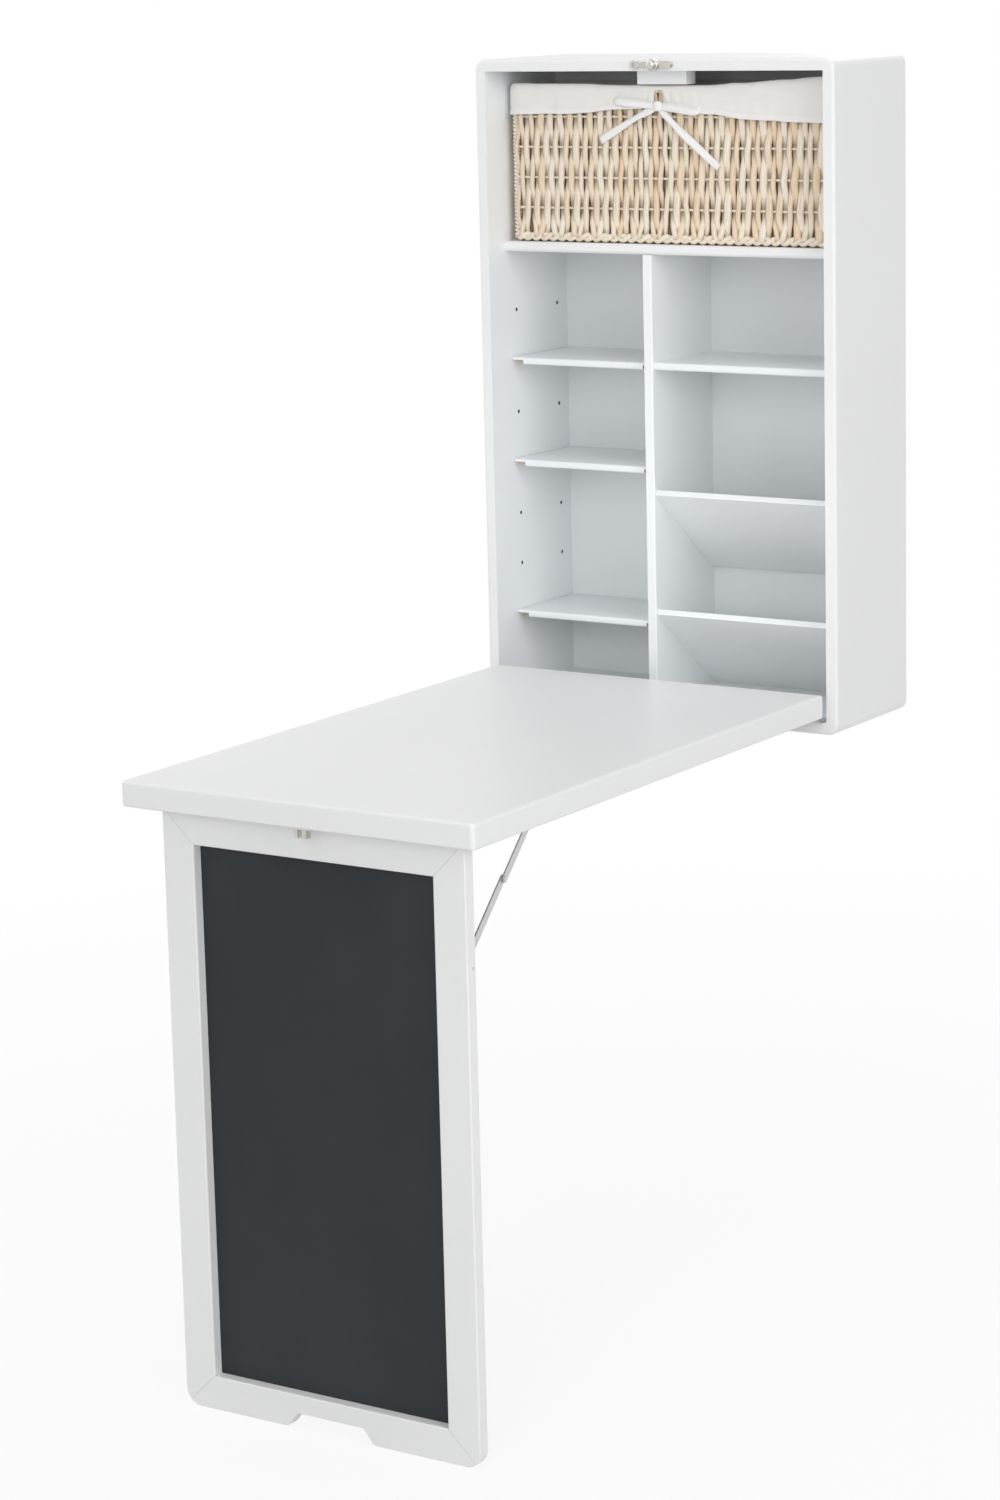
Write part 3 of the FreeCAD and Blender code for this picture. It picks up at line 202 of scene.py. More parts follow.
def satinPaint(name, look=paintLook, paintBayLight=False):
    paint = Finish(name)
    cloud, peel, roller = [paint.grain(*look[key]) for key in ("cloud", "peel", "roller")]
    tones = [look["body"], look["shade"]]
    # painted light: inside the cabinet the white is mixed to the cooler, brighter white
    if paintBayLight:
        inside = insideBays(paint)
        tones = [paint.mix(inside, look[key], bayLightLook[key]) for key in ("body", "shade")]
    colour = paint.mix(cloud * look["shaded"], *tones)
    height = peel * look["peelShare"] + roller * (1 - look["peelShare"])
    rough = look["rough"] + (roller - 0.5) * look["spread"]
    return paint, colour, rough, paint.bump(height, *look["bump"])


def plainPaint(name, look=paintLook, paintBayLight=False):
    paint, colour, rough, normal = satinPaint(name, look, paintBayLight)
    return paint.lay(colour=colour, roughness=rough, normal=normal, specular=look["specular"])


slotLook = {
    "raw": (0.68, 0.5, 0.34), "darker": 0.8, "fibre": (160.0, 4.0, (1, 3, 1)), "rougher": 0.3,
    "pitch": 0.066, "shelfFoot": -0.668, "low": 0.0003, "high": 0.0057, "left": -0.2229, "right": -0.0443,
}


def shelfPaint():  # bare board inside the routed pin slots
    look = slotLook
    paint, colour, rough, normal = satinPaint("shelfPaint", paintBayLight=True)
    rise = paint.maths("FLOORED_MODULO", paint.axis(2) - look["shelfFoot"], look["pitch"])
    across = paint.axis(0)
    atEnd = paint.larger(across < look["left"], across > look["right"])
    inSlot = (rise > look["low"]) * (rise < look["high"]) * atEnd
    dark = tuple(look["darker"] * part for part in look["raw"])
    raw = paint.mix(paint.grain(*look["fibre"]), look["raw"], dark)
    colour = paint.mix(inSlot, colour, raw)
    return paint.lay(colour=colour, roughness=rough + inSlot * look["rougher"], normal=normal)


holeLook = {
    # raw: a dark brown for the holes, the bare board darkened as painted shade
    "raw": (0.2, 0.15, 0.1), "rougher": 0.3, "radius": 0.0028, "pitch": 0.066, "row": -0.665,
    "columns": (-0.126, -0.027), "boards": ((-0.2535, -0.24015), (-0.03485, -0.0262)),  # left wall, divider
}


def drilledPaint():  # bare board inside the rows of pin holes, drawn dark brown as painted shade in the holes
    look = holeLook
    paint, colour, rough, normal = satinPaint("drilledPaint", paintBayLight=True)
    across, depth, height = [paint.axis(index) for index in range(3)]
    half = look["pitch"] / 2
    rise = paint.maths("FLOORED_MODULO", height - look["row"] + half, look["pitch"]) - half
    rings = []
    for column in look["columns"]:
        away = depth - column
        rings.append(away * away + rise * rise < look["radius"] ** 2)
    inside = [(across > low) * (across < high) for low, high in look["boards"]]
    inHole = paint.larger(*rings) * paint.larger(*inside)
    colour = paint.mix(inHole, colour, look["raw"])
    return paint.lay(colour=colour, roughness=rough + inHole * look["rougher"], normal=normal)


mitreLook = {
    "open": 0.1625, "top": -0.7952, "foot": -1.4299, "stile": 0.0425, "rail": 0.041,
    "width": 0.0008, "shade": (0.5, 0.5, 0.49), "shaded": 0.8, "groove": (0.5, 0.0005),
}


def framePaint():  # a hairline along each mitre of the leg's frame
    look = mitreLook
    paint, colour, rough, normal = satinPaint("framePaint")
    out = paint.absolute(paint.axis(0)) - look["open"]
    height = paint.axis(2)
    upper = paint.absolute(height - look["top"] - out)
    lower = paint.absolute(height - look["foot"] + out * (look["rail"] / look["stile"]))
    nearest = paint.maths("MINIMUM", upper, lower)
    seam = paint.larger(1.0 - nearest / look["width"], 0.0) * (out > 0.0)
    groove = paint.bump(1.0 - seam, *look["groove"])
    paint.feed(groove.socket.node.inputs["Normal"], normal)
    colour = paint.mix(seam * look["shaded"], colour, look["shade"])
    return paint.lay(colour=colour, roughness=rough, normal=groove)


slateLook = {
    "body": (0.0145, 0.0187, 0.0222), "worn": (0.0215, 0.0266, 0.031), "chalk": (0.042, 0.047, 0.052),
    "cloud": (7.0, 5.0), "wipe": (9.0, 5.0, (1.0, 1.0, 0.45)), "grit": (1400.0, 2.0),
    "dust": [(0.45, (0, 0, 0)), (0.9, (0.4, 0.4, 0.4))],
    "rough": 0.62, "spread": 0.14, "bump": (0.25, 0.0003), "specular": 0.35,
}


def slatePaint():  # the blackboard
    look = slateLook
    slate = Finish("slatePaint")
    cloud, wipe, grit = [slate.grain(*look[key]) for key in ("cloud", "wipe", "grit")]
    base = slate.mix(cloud, look["body"], look["worn"])
    colour = slate.mix(slate.ramp(wipe, look["dust"]), base, look["chalk"])
    return slate.dress(colour, grit, look)


zincLook = {
    "body": (0.66, 0.66, 0.65), "dull": (0.5, 0.5, 0.5), "dulled": 0.7,
    "cloud": (70.0, 4.0), "streak": (900.0, 2.0, (0.06, 1.0, 1.0)),
    "rough": 0.3, "streaked": 0.16, "clouded": 0.06, "bump": (0.08, 0.0002),
}
nickelLook = {**zincLook, "body": (0.68, 0.66, 0.62), "dull": (0.4, 0.37, 0.33), "rough": 0.14}


def platedMetal(name, look):
    metal = Finish(name)
    cloud = metal.grain(*look["cloud"])
    streak = metal.grain(*look["streak"])
    colour = metal.mix(cloud * look["dulled"], look["body"], look["dull"])
    rough = look["rough"] + streak * look["streaked"] + cloud * look["clouded"]
    return metal.lay(colour=colour, roughness=rough, metallic=1.0, normal=metal.bump(streak, *look["bump"]))


pinLook = {
    "body": (0.62, 0.5, 0.36), "other": (0.7, 0.58, 0.44), "grain": (600.0, 3.0),
    "rough": 0.42, "spread": 0.12, "bump": (0.1, 0.0002),
}
beechLook = {
    "body": (0.5, 0.34, 0.2), "other": (0.66, 0.48, 0.3), "grain": (140.0, 5.0, (0.12, 1.0, 1.0)),
    "rough": 0.6, "spread": 0.15, "bump": (0.2, 0.0003),
}


def twoToned(name, look):  # plastic pins, bare dowels
    finish = Finish(name)
    grain = finish.grain(*look["grain"])
    return finish.dress(finish.mix(grain, look["body"], look["other"]), grain, look)


wickerLook = {
    "pale": (0.93, 0.86, 0.76), "cream": (0.9, 0.79, 0.63), "tan": (0.84, 0.66, 0.46),
    # the first dark brown serves dark fibres in the grain and painted shade on the strands' flanks; the
    # darkest brown is painted shade in the weave's gaps
    "peach": (0.88, 0.63, 0.4), "crease": (0.42, 0.27, 0.14), "behindShade": (0.15, 0.09, 0.045),
    "tones": {"pale": 0.0, "cream": 0.5, "tan": 0.85, "peach": 1.0},
    "fibre": (9.0, 4.0, (9.0, 1.2, 1.0)), "patch": (38.0, 3.0), "patched": 0.45,
    "deep": [(0.42, (0, 0, 0)), (0.72, (0.7, 0.7, 0.7))], "flankPower": 4.0, "flanked": 0.8, "hidden": 0.8,
    "rough": 0.5, "spread": 0.25, "bump": (0.5, 0.0006), "specular": 0.3,
}


def splitWicker():
    look = wickerLook
    straw = Finish("splitWicker")
    fibre = straw.grain(*look["fibre"], straw.attribute("strandUv", "Vector"))
    patch = straw.grain(*look["patch"])
    tones = [(place, look[key]) for key, place in look["tones"].items()]
    colour = straw.ramp(straw.attribute("tone"), tones)
    colour = straw.mix(straw.ramp(fibre, look["deep"]), colour, look["crease"])
    colour = straw.mix(patch * look["patched"], colour, look["pale"])
    # painted shade: each strand's flanks are darkened toward the dark brown, as the contact shadow between
    # neighbouring strands
    flank = straw.maths("POWER", straw.attribute("flank"), look["flankPower"])
    colour = straw.mix(flank * look["flanked"], colour, look["crease"])
    # painted shade: the dark layer at the back of the gaps, and each strand where it goes in past a rod,
    # mixed toward the darkest brown
    colour = straw.mix(straw.attribute("behindShade") * look["hidden"], colour, look["behindShade"])
    return straw.dress(colour, fibre, look)


cottonLook = {
    "body": (0.86, 0.84, 0.81), "shade": (0.79, 0.77, 0.74), "hem": (0.88, 0.87, 0.85), "hemmed": 0.45,
    "slub": (60.0, 4.0, (1.0, 6.0, 1.0)), "cloud": (14.0, 3.0), "slubbed": 0.6, "clouded": 0.3,
    "thread": 0.0009, "weaveShare": 0.5, "rough": 0.82, "spread": 0.1, "bump": (0.25, 0.0003), "sheen": 0.15,
}
ribbonLook = {
    **cottonLook, "body": (0.9, 0.89, 0.875), "shade": (0.84, 0.83, 0.81), "hem": (0.9, 0.89, 0.875),
    "thread": 0.0006,
}


def wovenCotton(name, look):
    cloth = Finish(name)
    uv = cloth.attribute("clothUv", "Vector")
    turn = 2 * math.pi / look["thread"]
    warp, weft = [cloth.sine(cloth.part(uv, index) * turn) for index in range(2)]
    slub = cloth.grain(*look["slub"], uv)
    cloud = cloth.grain(*look["cloud"])
    colour = cloth.mix(slub * look["slubbed"] + cloud * look["clouded"], look["body"], look["shade"])
    colour = cloth.mix(cloth.attribute("hem") * look["hemmed"], colour, look["hem"])
    height = warp * weft * look["weaveShare"] + slub * (1 - look["weaveShare"])
    return cloth.dress(colour, slub, look, height)


wicker = splitWicker()
cotton = wovenCotton("linerCotton", cottonLook)
ribbonCloth = wovenCotton("ribbonCloth", ribbonLook)
slotFinish = {
    "white_paint": plainPaint("satinPaint"), "slate_paint": slatePaint(),
    "zinc_plate": platedMetal("zincPlate", zincLook), "nickel_plate": platedMetal("nickelPlate", nickelLook),
    "beige_plastic": twoToned("pinPlastic", pinLook), "bare_beech": twoToned("bareBeech", beechLook),
    "wicker": wicker, "cotton": cotton, "ribbon": ribbonCloth,
}
for subpart in frame["record"]["subparts"]:
    mesh = nodes[subpart["node"]].data
    mesh.materials.clear()
    mesh.materials.append(slotFinish[subpart["material_slot"]])
cabinetPaint = plainPaint("cabinetPaint", paintBayLight=True)
paintedPieces = {
    "left_shelf_lower left_shelf_middle left_shelf_upper": shelfPaint(),
    "cabinet_left_side centre_divider": drilledPaint(),
    "cabinet_right_side cabinet_top cabinet_bottom": cabinetPaint,
    "right_shelf lower_bin_board upper_bin_board": cabinetPaint,
    "back_board": plainPaint("backShadePaint", backShadeLook),
    "leg_left_stile leg_right_stile leg_top_rail leg_bottom_rail": framePaint(),
}
for pieceNames, finish in paintedPieces.items():
    for pieceName in pieceNames.split():
        nodes[pieceName].data.materials[0] = finish
print("finishes:", len(bpy.data.materials))


class Grower(Board):  # a geometry tree with named inputs for its sizes
    def __init__(self, name, sizes):
        self.group = bpy.data.node_groups.new(name, "GeometryNodeTree")
        super().__init__(self.group)
        self.sizes = sizes
        face = self.group.interface
        face.new_socket("Geometry", in_out="INPUT", socket_type="NodeSocketGeometry")
        face.new_socket("Geometry", in_out="OUTPUT", socket_type="NodeSocketGeometry")
        kinds = {int: "NodeSocketInt", tuple: "NodeSocketVector"}
        self.sockets = {}
        for key, value in sizes.items():
            kind = kinds.get(type(value), "NodeSocketFloat")
            self.sockets[key] = face.new_socket(key, in_out="INPUT", socket_type=kind)
        self.entry = self.group.nodes.new("NodeGroupInput")

    def __getitem__(self, key):
        return Val(self, self.entry.outputs[key])

    def join(self, parts):
        made = self.node("GeometryNodeJoinGeometry")
        for part in parts:
            self.feed(made.socket.node.inputs[0], part)
        return made

    def store(self, geometry, name, value, kind="FLOAT", domain="POINT"):
        inputs = {"Geometry": geometry, "Name": name, "Value": value}
        return self.node("GeometryNodeStoreNamedAttribute", inputs, data_type=kind, domain=domain)

    def recall(self, name, kind="FLOAT"):
        return self.node("GeometryNodeInputNamedAttribute", {"Name": name}, data_type=kind)

    def chance(self, index, seed):
        return self.node("FunctionNodeRandomValue", {"ID": index, "Seed": seed}, 1, data_type="FLOAT")

    def moved(self, geometry, shift, scale=(1, 1, 1)):
        inputs = {"Geometry": geometry, "Translation": shift, "Scale": scale}
        return self.node("GeometryNodeTransform", inputs)

    def shifted(self, geometry, offset):
        return self.node("GeometryNodeSetPosition", {"Geometry": geometry, "Offset": offset})

    def place(self, points, instance, more=None):
        inputs = {"Points": points, "Instance": instance, **(more or {})}
        return self.node("GeometryNodeInstanceOnPoints", inputs)

    def realize(self, geometry):
        return self.node("GeometryNodeRealizeInstances", {"Geometry": geometry})

    def rod(self, sides, radius, length):
        inputs = {"Vertices": sides, "Radius": radius, "Depth": length}
        return self.node("GeometryNodeMeshCylinder", inputs)

    def pipe(self, curve, sides, radius, capped=False):
        ring = self.node("GeometryNodeCurvePrimitiveCircle", {"Resolution": sides, "Radius": radius})
        inputs = {"Curve": curve, "Profile Curve": ring, "Fill Caps": capped}
        return self.node("GeometryNodeCurveToMesh", inputs)

    def close(self, geometry, material, smooth=True):
        shading = {"Geometry": self.realize(geometry), "Shade Smooth": smooth}
        shaded = self.node("GeometryNodeSetShadeSmooth", shading)
        dressed = self.node("GeometryNodeSetMaterial", {"Geometry": shaded, "Material": material})
        end = self.tree.nodes.new("NodeGroupOutput")
        self.tree.links.new(dressed.socket, end.inputs[0])

    def grow(self, spots=((0, 0, 0),), **changed):  # evaluates the tree on a few points, gives a plain mesh
        base = bpy.data.meshes.new(self.group.name + "Spots")
        base.from_pydata([tuple(spot) for spot in spots], [], [])
        holder = bpy.data.objects.new(self.group.name + "Holder", base)
        scene.collection.objects.link(holder)
        modifier = holder.modifiers.new("grow", "NODES")
        modifier.node_group = self.group
        for key, value in {**self.sizes, **changed}.items():
            modifier[self.sockets[key].identifier] = value
        graph = bpy.context.evaluated_depsgraph_get()
        mesh = bpy.data.meshes.new_from_object(holder.evaluated_get(graph))
        holder.modifiers.clear()
        bpy.data.objects.remove(holder)
        return mesh


def addPiece(name, mesh, body, node):
    piece = bpy.data.objects.new(name, mesh)
    scene.collection.objects.link(piece)
    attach(piece, body)
    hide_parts(node)
    return piece


def joinMeshes(name, meshes):
    parts = [bpy.data.objects.new(name, mesh) for mesh in meshes]
    for part in parts:
        scene.collection.objects.link(part)
    with bpy.context.temp_override(active_object=parts[0], object=parts[0], selected_editable_objects=parts):
        bpy.ops.object.join()
    mesh = parts[0].data
    bpy.data.objects.remove(parts[0])
    return mesh


def skinRings(form, rings, uvLayer=None):  # faces between rows of points, or of points with their uv
    for first, second in zip(rings, rings[1:]):
        for order in range(len(first) - 1):
            corners = [first[order], first[order + 1], second[order + 1], second[order]]
            if uvLayer is None:
                form.faces.new(corners)
                continue
            face = form.faces.new([vert for vert, uv in corners])
            face.smooth = True
            for loop, (vert, uv) in zip(face.loops, corners):
                loop[uvLayer].uv = uv


def finishMesh(form, name, material):
    mesh = bpy.data.meshes.new(name)
    form.to_mesh(mesh)
    form.free()
    mesh.materials.append(material)
    return mesh


# countersunk screws with a cross recess

screwSizes = {
    "headRadius": 0.0027, "shankRadius": 0.0014, "headDepth": 0.0012, "shankLength": 0.007,
    "slotLength": 0.0031, "slotWidth": 0.0007, "slotDepth": 0.0014, "headSides": 24, "shankSides": 12,
    "outward": (0.0, 0.0, 1.0),
}
screwMerge = 0.00001  # distance that closes the solids' split edges


def growScrews(finish):
    tree = Grower("screwHeads" + finish.name, screwSizes)
    depth = tree["headDepth"]
    length = tree["shankLength"]
    cone = tree.node("GeometryNodeMeshCone", {
        "Vertices": tree["headSides"], "Radius Top": tree["headRadius"],
        "Radius Bottom": tree["shankRadius"], "Depth": depth,
    })
    head = tree.moved(cone, tree.point(z=0.0 - depth))
    bars = []
    for wide, deep in (("slotLength", "slotWidth"), ("slotWidth", "slotLength")):
        size = tree.point(tree[wide], tree[deep], tree["slotDepth"])
        bars.append(tree.node("GeometryNodeMeshCube", {"Size": size}))
    cutter = tree.node("GeometryNodeMeshBoolean", {"Mesh 2": bars[0]}, operation="UNION")
    tree.feed(cutter.socket.node.inputs["Mesh 2"], bars[1])
    cut = {"Mesh 1": head, "Mesh 2": cutter}
    crossed = tree.node("GeometryNodeMeshBoolean", cut, operation="DIFFERENCE")
    shank = tree.rod(tree["shankSides"], tree["shankRadius"], length)
    shank = tree.moved(shank, tree.point(z=0.0 - depth - length / 2.0))
    turn = tree.node("FunctionNodeAlignRotationToVector", {"Vector": tree["outward"]}, axis="Z")
    placed = tree.place(tree["Geometry"], tree.join([crossed, shank]), {"Rotation": turn})
    tree.close(placed, finish, smooth=False)
    return tree


def screwSpots(node, outward):  # the middle of each screw's outer face, read from the frame's own solids
    copy = bmesh.new()
    copy.from_mesh(nodes[node].data)
    bmesh.ops.remove_doubles(copy, verts=copy.verts, dist=screwMerge)
    left = set(copy.verts)
    spots = []
    while left:
        island = [left.pop()]
        for vert in island:
            for edge in vert.link_edges:
                other = edge.other_vert(vert)
                if other in left:
                    left.remove(other)
                    island.append(other)
        low = Vector([min(vert.co[axis] for vert in island) for axis in range(3)])
        high = Vector([max(vert.co[axis] for vert in island) for axis in range(3)])
        spots.append((low + high) / 2 + (high - low) / 2 * Vector(outward))
    copy.free()
    return spots


screwGroups = {
    "cabinetHingeScrews": ("table_hinge_cabinet_screws", "cabinet", "zinc_plate", (0.0, 0.0, 1.0)),
    "tableHingeScrews": ("table_hinge_table_screws", "table", "zinc_plate", (0.0, 1.0, 0.0)),
    "legHingeBoardScrews": ("leg_hinge_board_screws", "table", "zinc_plate", (0.0, 0.0, -1.0)),
    "legHingeScrews": ("leg_hinge_leg_screws", "leg", "zinc_plate", (0.0, 1.0, 0.0)),
    "bracketScrews": ("stay_bracket_screws", "table", "zinc_plate", (0.0, 0.0, -1.0)),
    "latchScrews": ("latch_screws", "cabinet", "nickel_plate", (0.0, -1.0, 0.0)),
    "keeperScrews": ("keeper_screws", "table", "nickel_plate", (0.0, 0.0, -1.0)),
}
screwTrees = {slotName: growScrews(slotFinish[slotName]) for slotName in ("zinc_plate", "nickel_plate")}
for pieceName, (node, body, slotName, outward) in screwGroups.items():
    mesh = screwTrees[slotName].grow(screwSpots(node, outward), outward=outward)
    addPiece(pieceName, mesh, body, node)
print("screws:", len(screwGroups), "groups")


# wicker basket: upright split strands woven round level rods, roped borders, whipped corners

basketLow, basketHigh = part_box("basket")
basketMiddle = (basketLow + basketHigh) / 2
basketSize = basketHigh - basketLow
wallSizes = {"width": basketSize.x, "depth": basketSize.y, "corner": 0.022}
pathSides = {"corner": 7, "pipe": 7, "strand": 8, "whipping": 6, "core": 10}


def basketPath(tree):  # level loop round the basket's walls
    inset = tree["inset"]
    rectangle = tree.node("GeometryNodeCurvePrimitiveQuadrilateral", {
        "Width": tree["width"] - 2.0 * inset, "Height": tree["depth"] - 2.0 * inset,
    })
    return tree.node("GeometryNodeFilletCurve", {
        "Curve": rectangle, "Count": pathSides["corner"], "Radius": tree["corner"] - inset,
    }, mode="POLY")


def outwardOf(tree, tangent):
    return tree.vectors("CROSS_PRODUCT", {0: tangent, 1: (0, 0, 1)})


rodLook = {"radius": 0.0016, "gap": 0.038, "start": 0.005, "count": 5, "inset": 0.0038, "tone": 0.3}


def growRods():
    tree = Grower("wickerRods", {**wallSizes, **rodLook})
    rod = tree.pipe(basketPath(tree), pathSides["pipe"], tree["radius"])
    levels = tree.node("GeometryNodeMeshLine", {
        "Count": tree["count"], "Start Location": tree.point(z=tree["start"]),
        "Offset": tree.point(z=tree["gap"]),
    })
    tree.close(tree.store(tree.realize(tree.place(levels, rod)), "tone", tree["tone"]), wicker)
    return tree.grow()


strandLook = {
    "count": 156, "wide": 0.0093, "thick": 0.003, "segments": 30, "seed": 4, "spread": 0.22, "foot": 0.007,
    "inset": 0.0038, "cornerRoom": 0.0142, "weave": 0.002, "lean": 0.0005, "wobble": 0.0036,
    "recessShade": 0.75, "recessPower": 3.0, "splay": 0.004, "splayReach": 0.022, "behindShade": 0.0,
}
# the back layer carries full painted shade, a dark sheet in the gaps
backStrands = {
    "wide": 0.0085, "thick": 0.0018, "segments": 16, "seed": 9, "inset": 0.0082, "weave": 0.0,
    "lean": -0.0005, "splay": 0.0, "behindShade": 1.0,
}
strandDrift = {"rates": (3.7, 34.0, 1.3), "detail": 2.0, "topGap": 0.002}


def strandForm(tree):  # one straight strand, standing on the basket's foot
    tube = tree.node("GeometryNodeMeshCylinder", {
        "Vertices": pathSides["strand"], "Side Segments": tree["segments"], "Radius": 1.0, "Depth": 1.0,
    })
    tube = tree.store(tube, "strandUv", tube.sibling("UV Map"), "FLOAT2", "CORNER")
    position = tree.node("GeometryNodeInputPosition")
    # flank: nearness to the strand's edge, which the finish darkens as painted shade
    tube = tree.store(tube, "flank", tree.absolute(tree.part(position, 0)))
    shape = tree.point(tree["wide"] / 2.0, tree["thick"] / 2.0, tree["height"])
    return tree.moved(tube, tree.point(z=tree["height"] / 2.0 + tree["foot"]), shape)


def standStrands(tree):  # strands all round, but for the corner posts
    inputs = {"Curve": basketPath(tree), "Count": tree["count"]}
    spaced = tree.node("GeometryNodeCurveToPoints", inputs, mode="COUNT")
    tangent = spaced.sibling("Tangent")
    index = tree.node("GeometryNodeInputIndex")
    marked = tree.store(spaced, "strand", index)
    marked = tree.store(marked, "tone", tree.chance(index, tree["seed"]))
    marked = tree.store(marked, "outward", outwardOf(tree, tangent), "FLOAT_VECTOR")
    marked = tree.store(marked, "sideways", tangent, "FLOAT_VECTOR")
    axes = {"Primary Axis": (0, 0, 1), "Secondary Axis": tangent}
    turn = tree.node("FunctionNodeAxesToRotation", axes, primary_axis="Z", secondary_axis="X")
    position = tree.node("GeometryNodeInputPosition")
    beyond = []
    for axis, key in enumerate(("width", "depth")):
        beyond.append(tree.absolute(tree.part(position, axis)) > tree[key] / 2.0 - tree["cornerRoom"])
    fuller = tree.chance(index, tree["seed"] + 1.0) - 0.5
    girth = tree.point(1.0 + fuller * 2.0 * tree["spread"], 1.0, 1.0)
    ways = {"Selection": 1.0 - beyond[0] * beyond[1], "Rotation": turn, "Scale": girth}
    return tree.realize(tree.place(marked, strandForm(tree), ways))


def weaveStrands(tree, whole):  # bends each strand in and out of the rods, with a little drift, and stores its painted shade where it goes in past a rod
    rise = tree.part(tree.node("GeometryNodeInputPosition"), 2)
    number = tree.recall("strand")
    phase = ((rise - rodLook["start"]) / rodLook["gap"] + number) * math.pi
    first, second, third = strandDrift["rates"]
    along = tree.point(number * first, rise * second, number * third)
    inputs = {"Vector": along, "Scale": 1.0, "Detail": strandDrift["detail"]}
    drift = tree.node("ShaderNodeTexNoise", inputs) - 0.5
    slide = tree.sine(phase) * tree["lean"] + drift * 2.0 * tree["wobble"]
    pair = (tree.maths("FLOORED_MODULO", number, 4.0) < 2.0) * 2.0 - 1.0  # two lean left, two lean right
    low = tree.larger(1.0 - (rise - tree["foot"]) / tree["splayReach"], 0.0)
    slide = slide + pair * low * tree["splay"]
    weave = tree.scaled(tree.recall("outward", "FLOAT_VECTOR"), tree.cosine(phase) * tree["weave"])
    shift = tree.summed(weave, tree.scaled(tree.recall("sideways", "FLOAT_VECTOR"), slide))
    # painted shade: strongest where a strand passes to the far side of a rod
    inner = tree.larger(0.0 - tree.cosine(phase), 0.0)
    sunkShade = tree.maths("POWER", inner, tree["recessPower"]) * tree["recessShade"]
    whole = tree.store(whole, "behindShade", tree.larger(tree["behindShade"], sunkShade))
    return tree.shifted(whole, shift)


def growStrands():  # the woven face, and flatter strands at the back of its gaps, painted dark as the gaps' shade
    height = basketSize.z - strandLook["foot"] - strandDrift["topGap"]
    tree = Grower("wickerStrands", {**wallSizes, **strandLook, "height": height})
    tree.close(weaveStrands(tree, standStrands(tree)), wicker)
    return [tree.grow(), tree.grow(**backStrands)]


ropeLook = {"strand": 0.0025, "twist": 0.0018, "climb": 0.0018, "turns": 62, "steps": 8.0, "inset": 0.0046}
footRope = {"strand": 0.0033, "twist": 0.0012, "climb": 0.0031, "turns": 44, "height": 0.0066}
ropeTones = (0.2, 0.55)


def growBorders():  # two strands twisted round each other, along the top and the bottom edge
    tree = Grower("wickerBorder", {**wallSizes, **ropeLook, "height": basketSize.z - ropeLook["inset"]})
    path = tree.node("GeometryNodeResampleCurve", {
        "Curve": basketPath(tree), "Count": tree["turns"] * tree["steps"],
    }, mode="COUNT")
    outward = outwardOf(tree, tree.node("GeometryNodeInputTangent"))
    travel = tree.node("GeometryNodeSplineParameter")
    strands = []
    for start, tone in zip((0.0, math.pi), ropeTones):
        angle = travel * tree["turns"] * (2 * math.pi) + start
        upward = tree.point(z=tree.sine(angle) * tree["climb"] + tree["height"])
        shift = tree.summed(tree.scaled(outward, tree.cosine(angle) * tree["twist"]), upward)
        strand = tree.pipe(tree.shifted(path, shift), pathSides["pipe"], tree["strand"])
        strands.append(tree.store(strand, "tone", tone))
    tree.close(tree.join(strands), wicker)
    return [tree.grow(), tree.grow(**footRope)]


whipLook = {"radius": 0.0046, "strand": 0.0018, "pitch": 0.0047, "steps": 12, "tone": 0.45}
whipEnds = {"foot": 0.007, "short": 0.012}


def growCorners():  # a post with a strand wound round it
    height = basketSize.z - whipEnds["short"]
    tree = Grower("cornerWhipping", {**whipLook, "height": height})
    spiral = tree.node("GeometryNodeCurveSpiral", {
        "Resolution": tree["steps"], "Rotations": tree["height"] / tree["pitch"], "Height": tree["height"],
        "Start Radius": tree["radius"], "End Radius": tree["radius"],
    })
    coil = tree.pipe(spiral, pathSides["whipping"], tree["strand"], capped=True)
    core = tree.rod(pathSides["core"], tree["radius"], tree["height"])
    post = tree.join([coil, tree.moved(core, tree.point(z=tree["height"] / 2.0))])
    whole = tree.realize(tree.place(tree["Geometry"], post))
    tree.close(tree.store(whole, "tone", tree["tone"]), wicker)
    arm = wallSizes["corner"] - whipLook["radius"] - whipLook["strand"]
    reach = wallSizes["corner"] - arm * math.sqrt(0.5)
    spots = [
        (side * (basketSize.x / 2 - reach), face * (basketSize.y / 2 - reach), whipEnds["foot"])
        for side in (-1, 1) for face in (-1, 1)
    ]
    return tree.grow(spots)


baseLook = {
    "slats": 22, "columns": 48, "inset": 0.007, "cover": 0.45, "level": 0.0042, "wave": 0.0009,
    "thick": 0.001,
}


def basketFloor():  # a flat woven base, level slats over and under
    look = baseLook
    form = bmesh.new()
    inset = look["inset"]
    deep = basketSize.y - 2 * inset
    half = look["cover"] * deep / look["slats"]
    for row in range(look["slats"]):
        y = -basketSize.y / 2 + inset + deep * (row + 0.5) / look["slats"]
        rings = []
        for column in range(look["columns"] + 1):
            x = (basketSize.x / 2 - inset) * (2 * column / look["columns"] - 1)
            z = look["level"] + look["wave"] * math.cos(math.pi * (column / 2 + row))
            corners = [(y - half, z), (y, z - look["thick"]), (y + half, z), (y, z + look["thick"])]
            rings.append([form.verts.new((x, across, level)) for across, level in corners])
        skinRings(form, [[*ring, ring[0]] for ring in rings])
        form.faces.new(rings[0])
        form.faces.new(reversed(rings[-1]))
    bmesh.ops.recalc_face_normals(form, faces=form.faces)
    return finishMesh(form, "basketFloor", wicker)


basketMesh = joinMeshes("basketWeave", [
    *growStrands(), growRods(), *growBorders(), growCorners(), basketFloor(),
])
basketMesh.transform(Matrix.Translation((basketMiddle.x, basketMiddle.y, basketLow.z)))
addPiece("basketWeave", basketMesh, "cabinet", "basket")
print("basket:", len(basketMesh.polygons), "faces")


# cotton liner: a bag in the basket, folded over the rim into a skirt that is slit and tied at the front

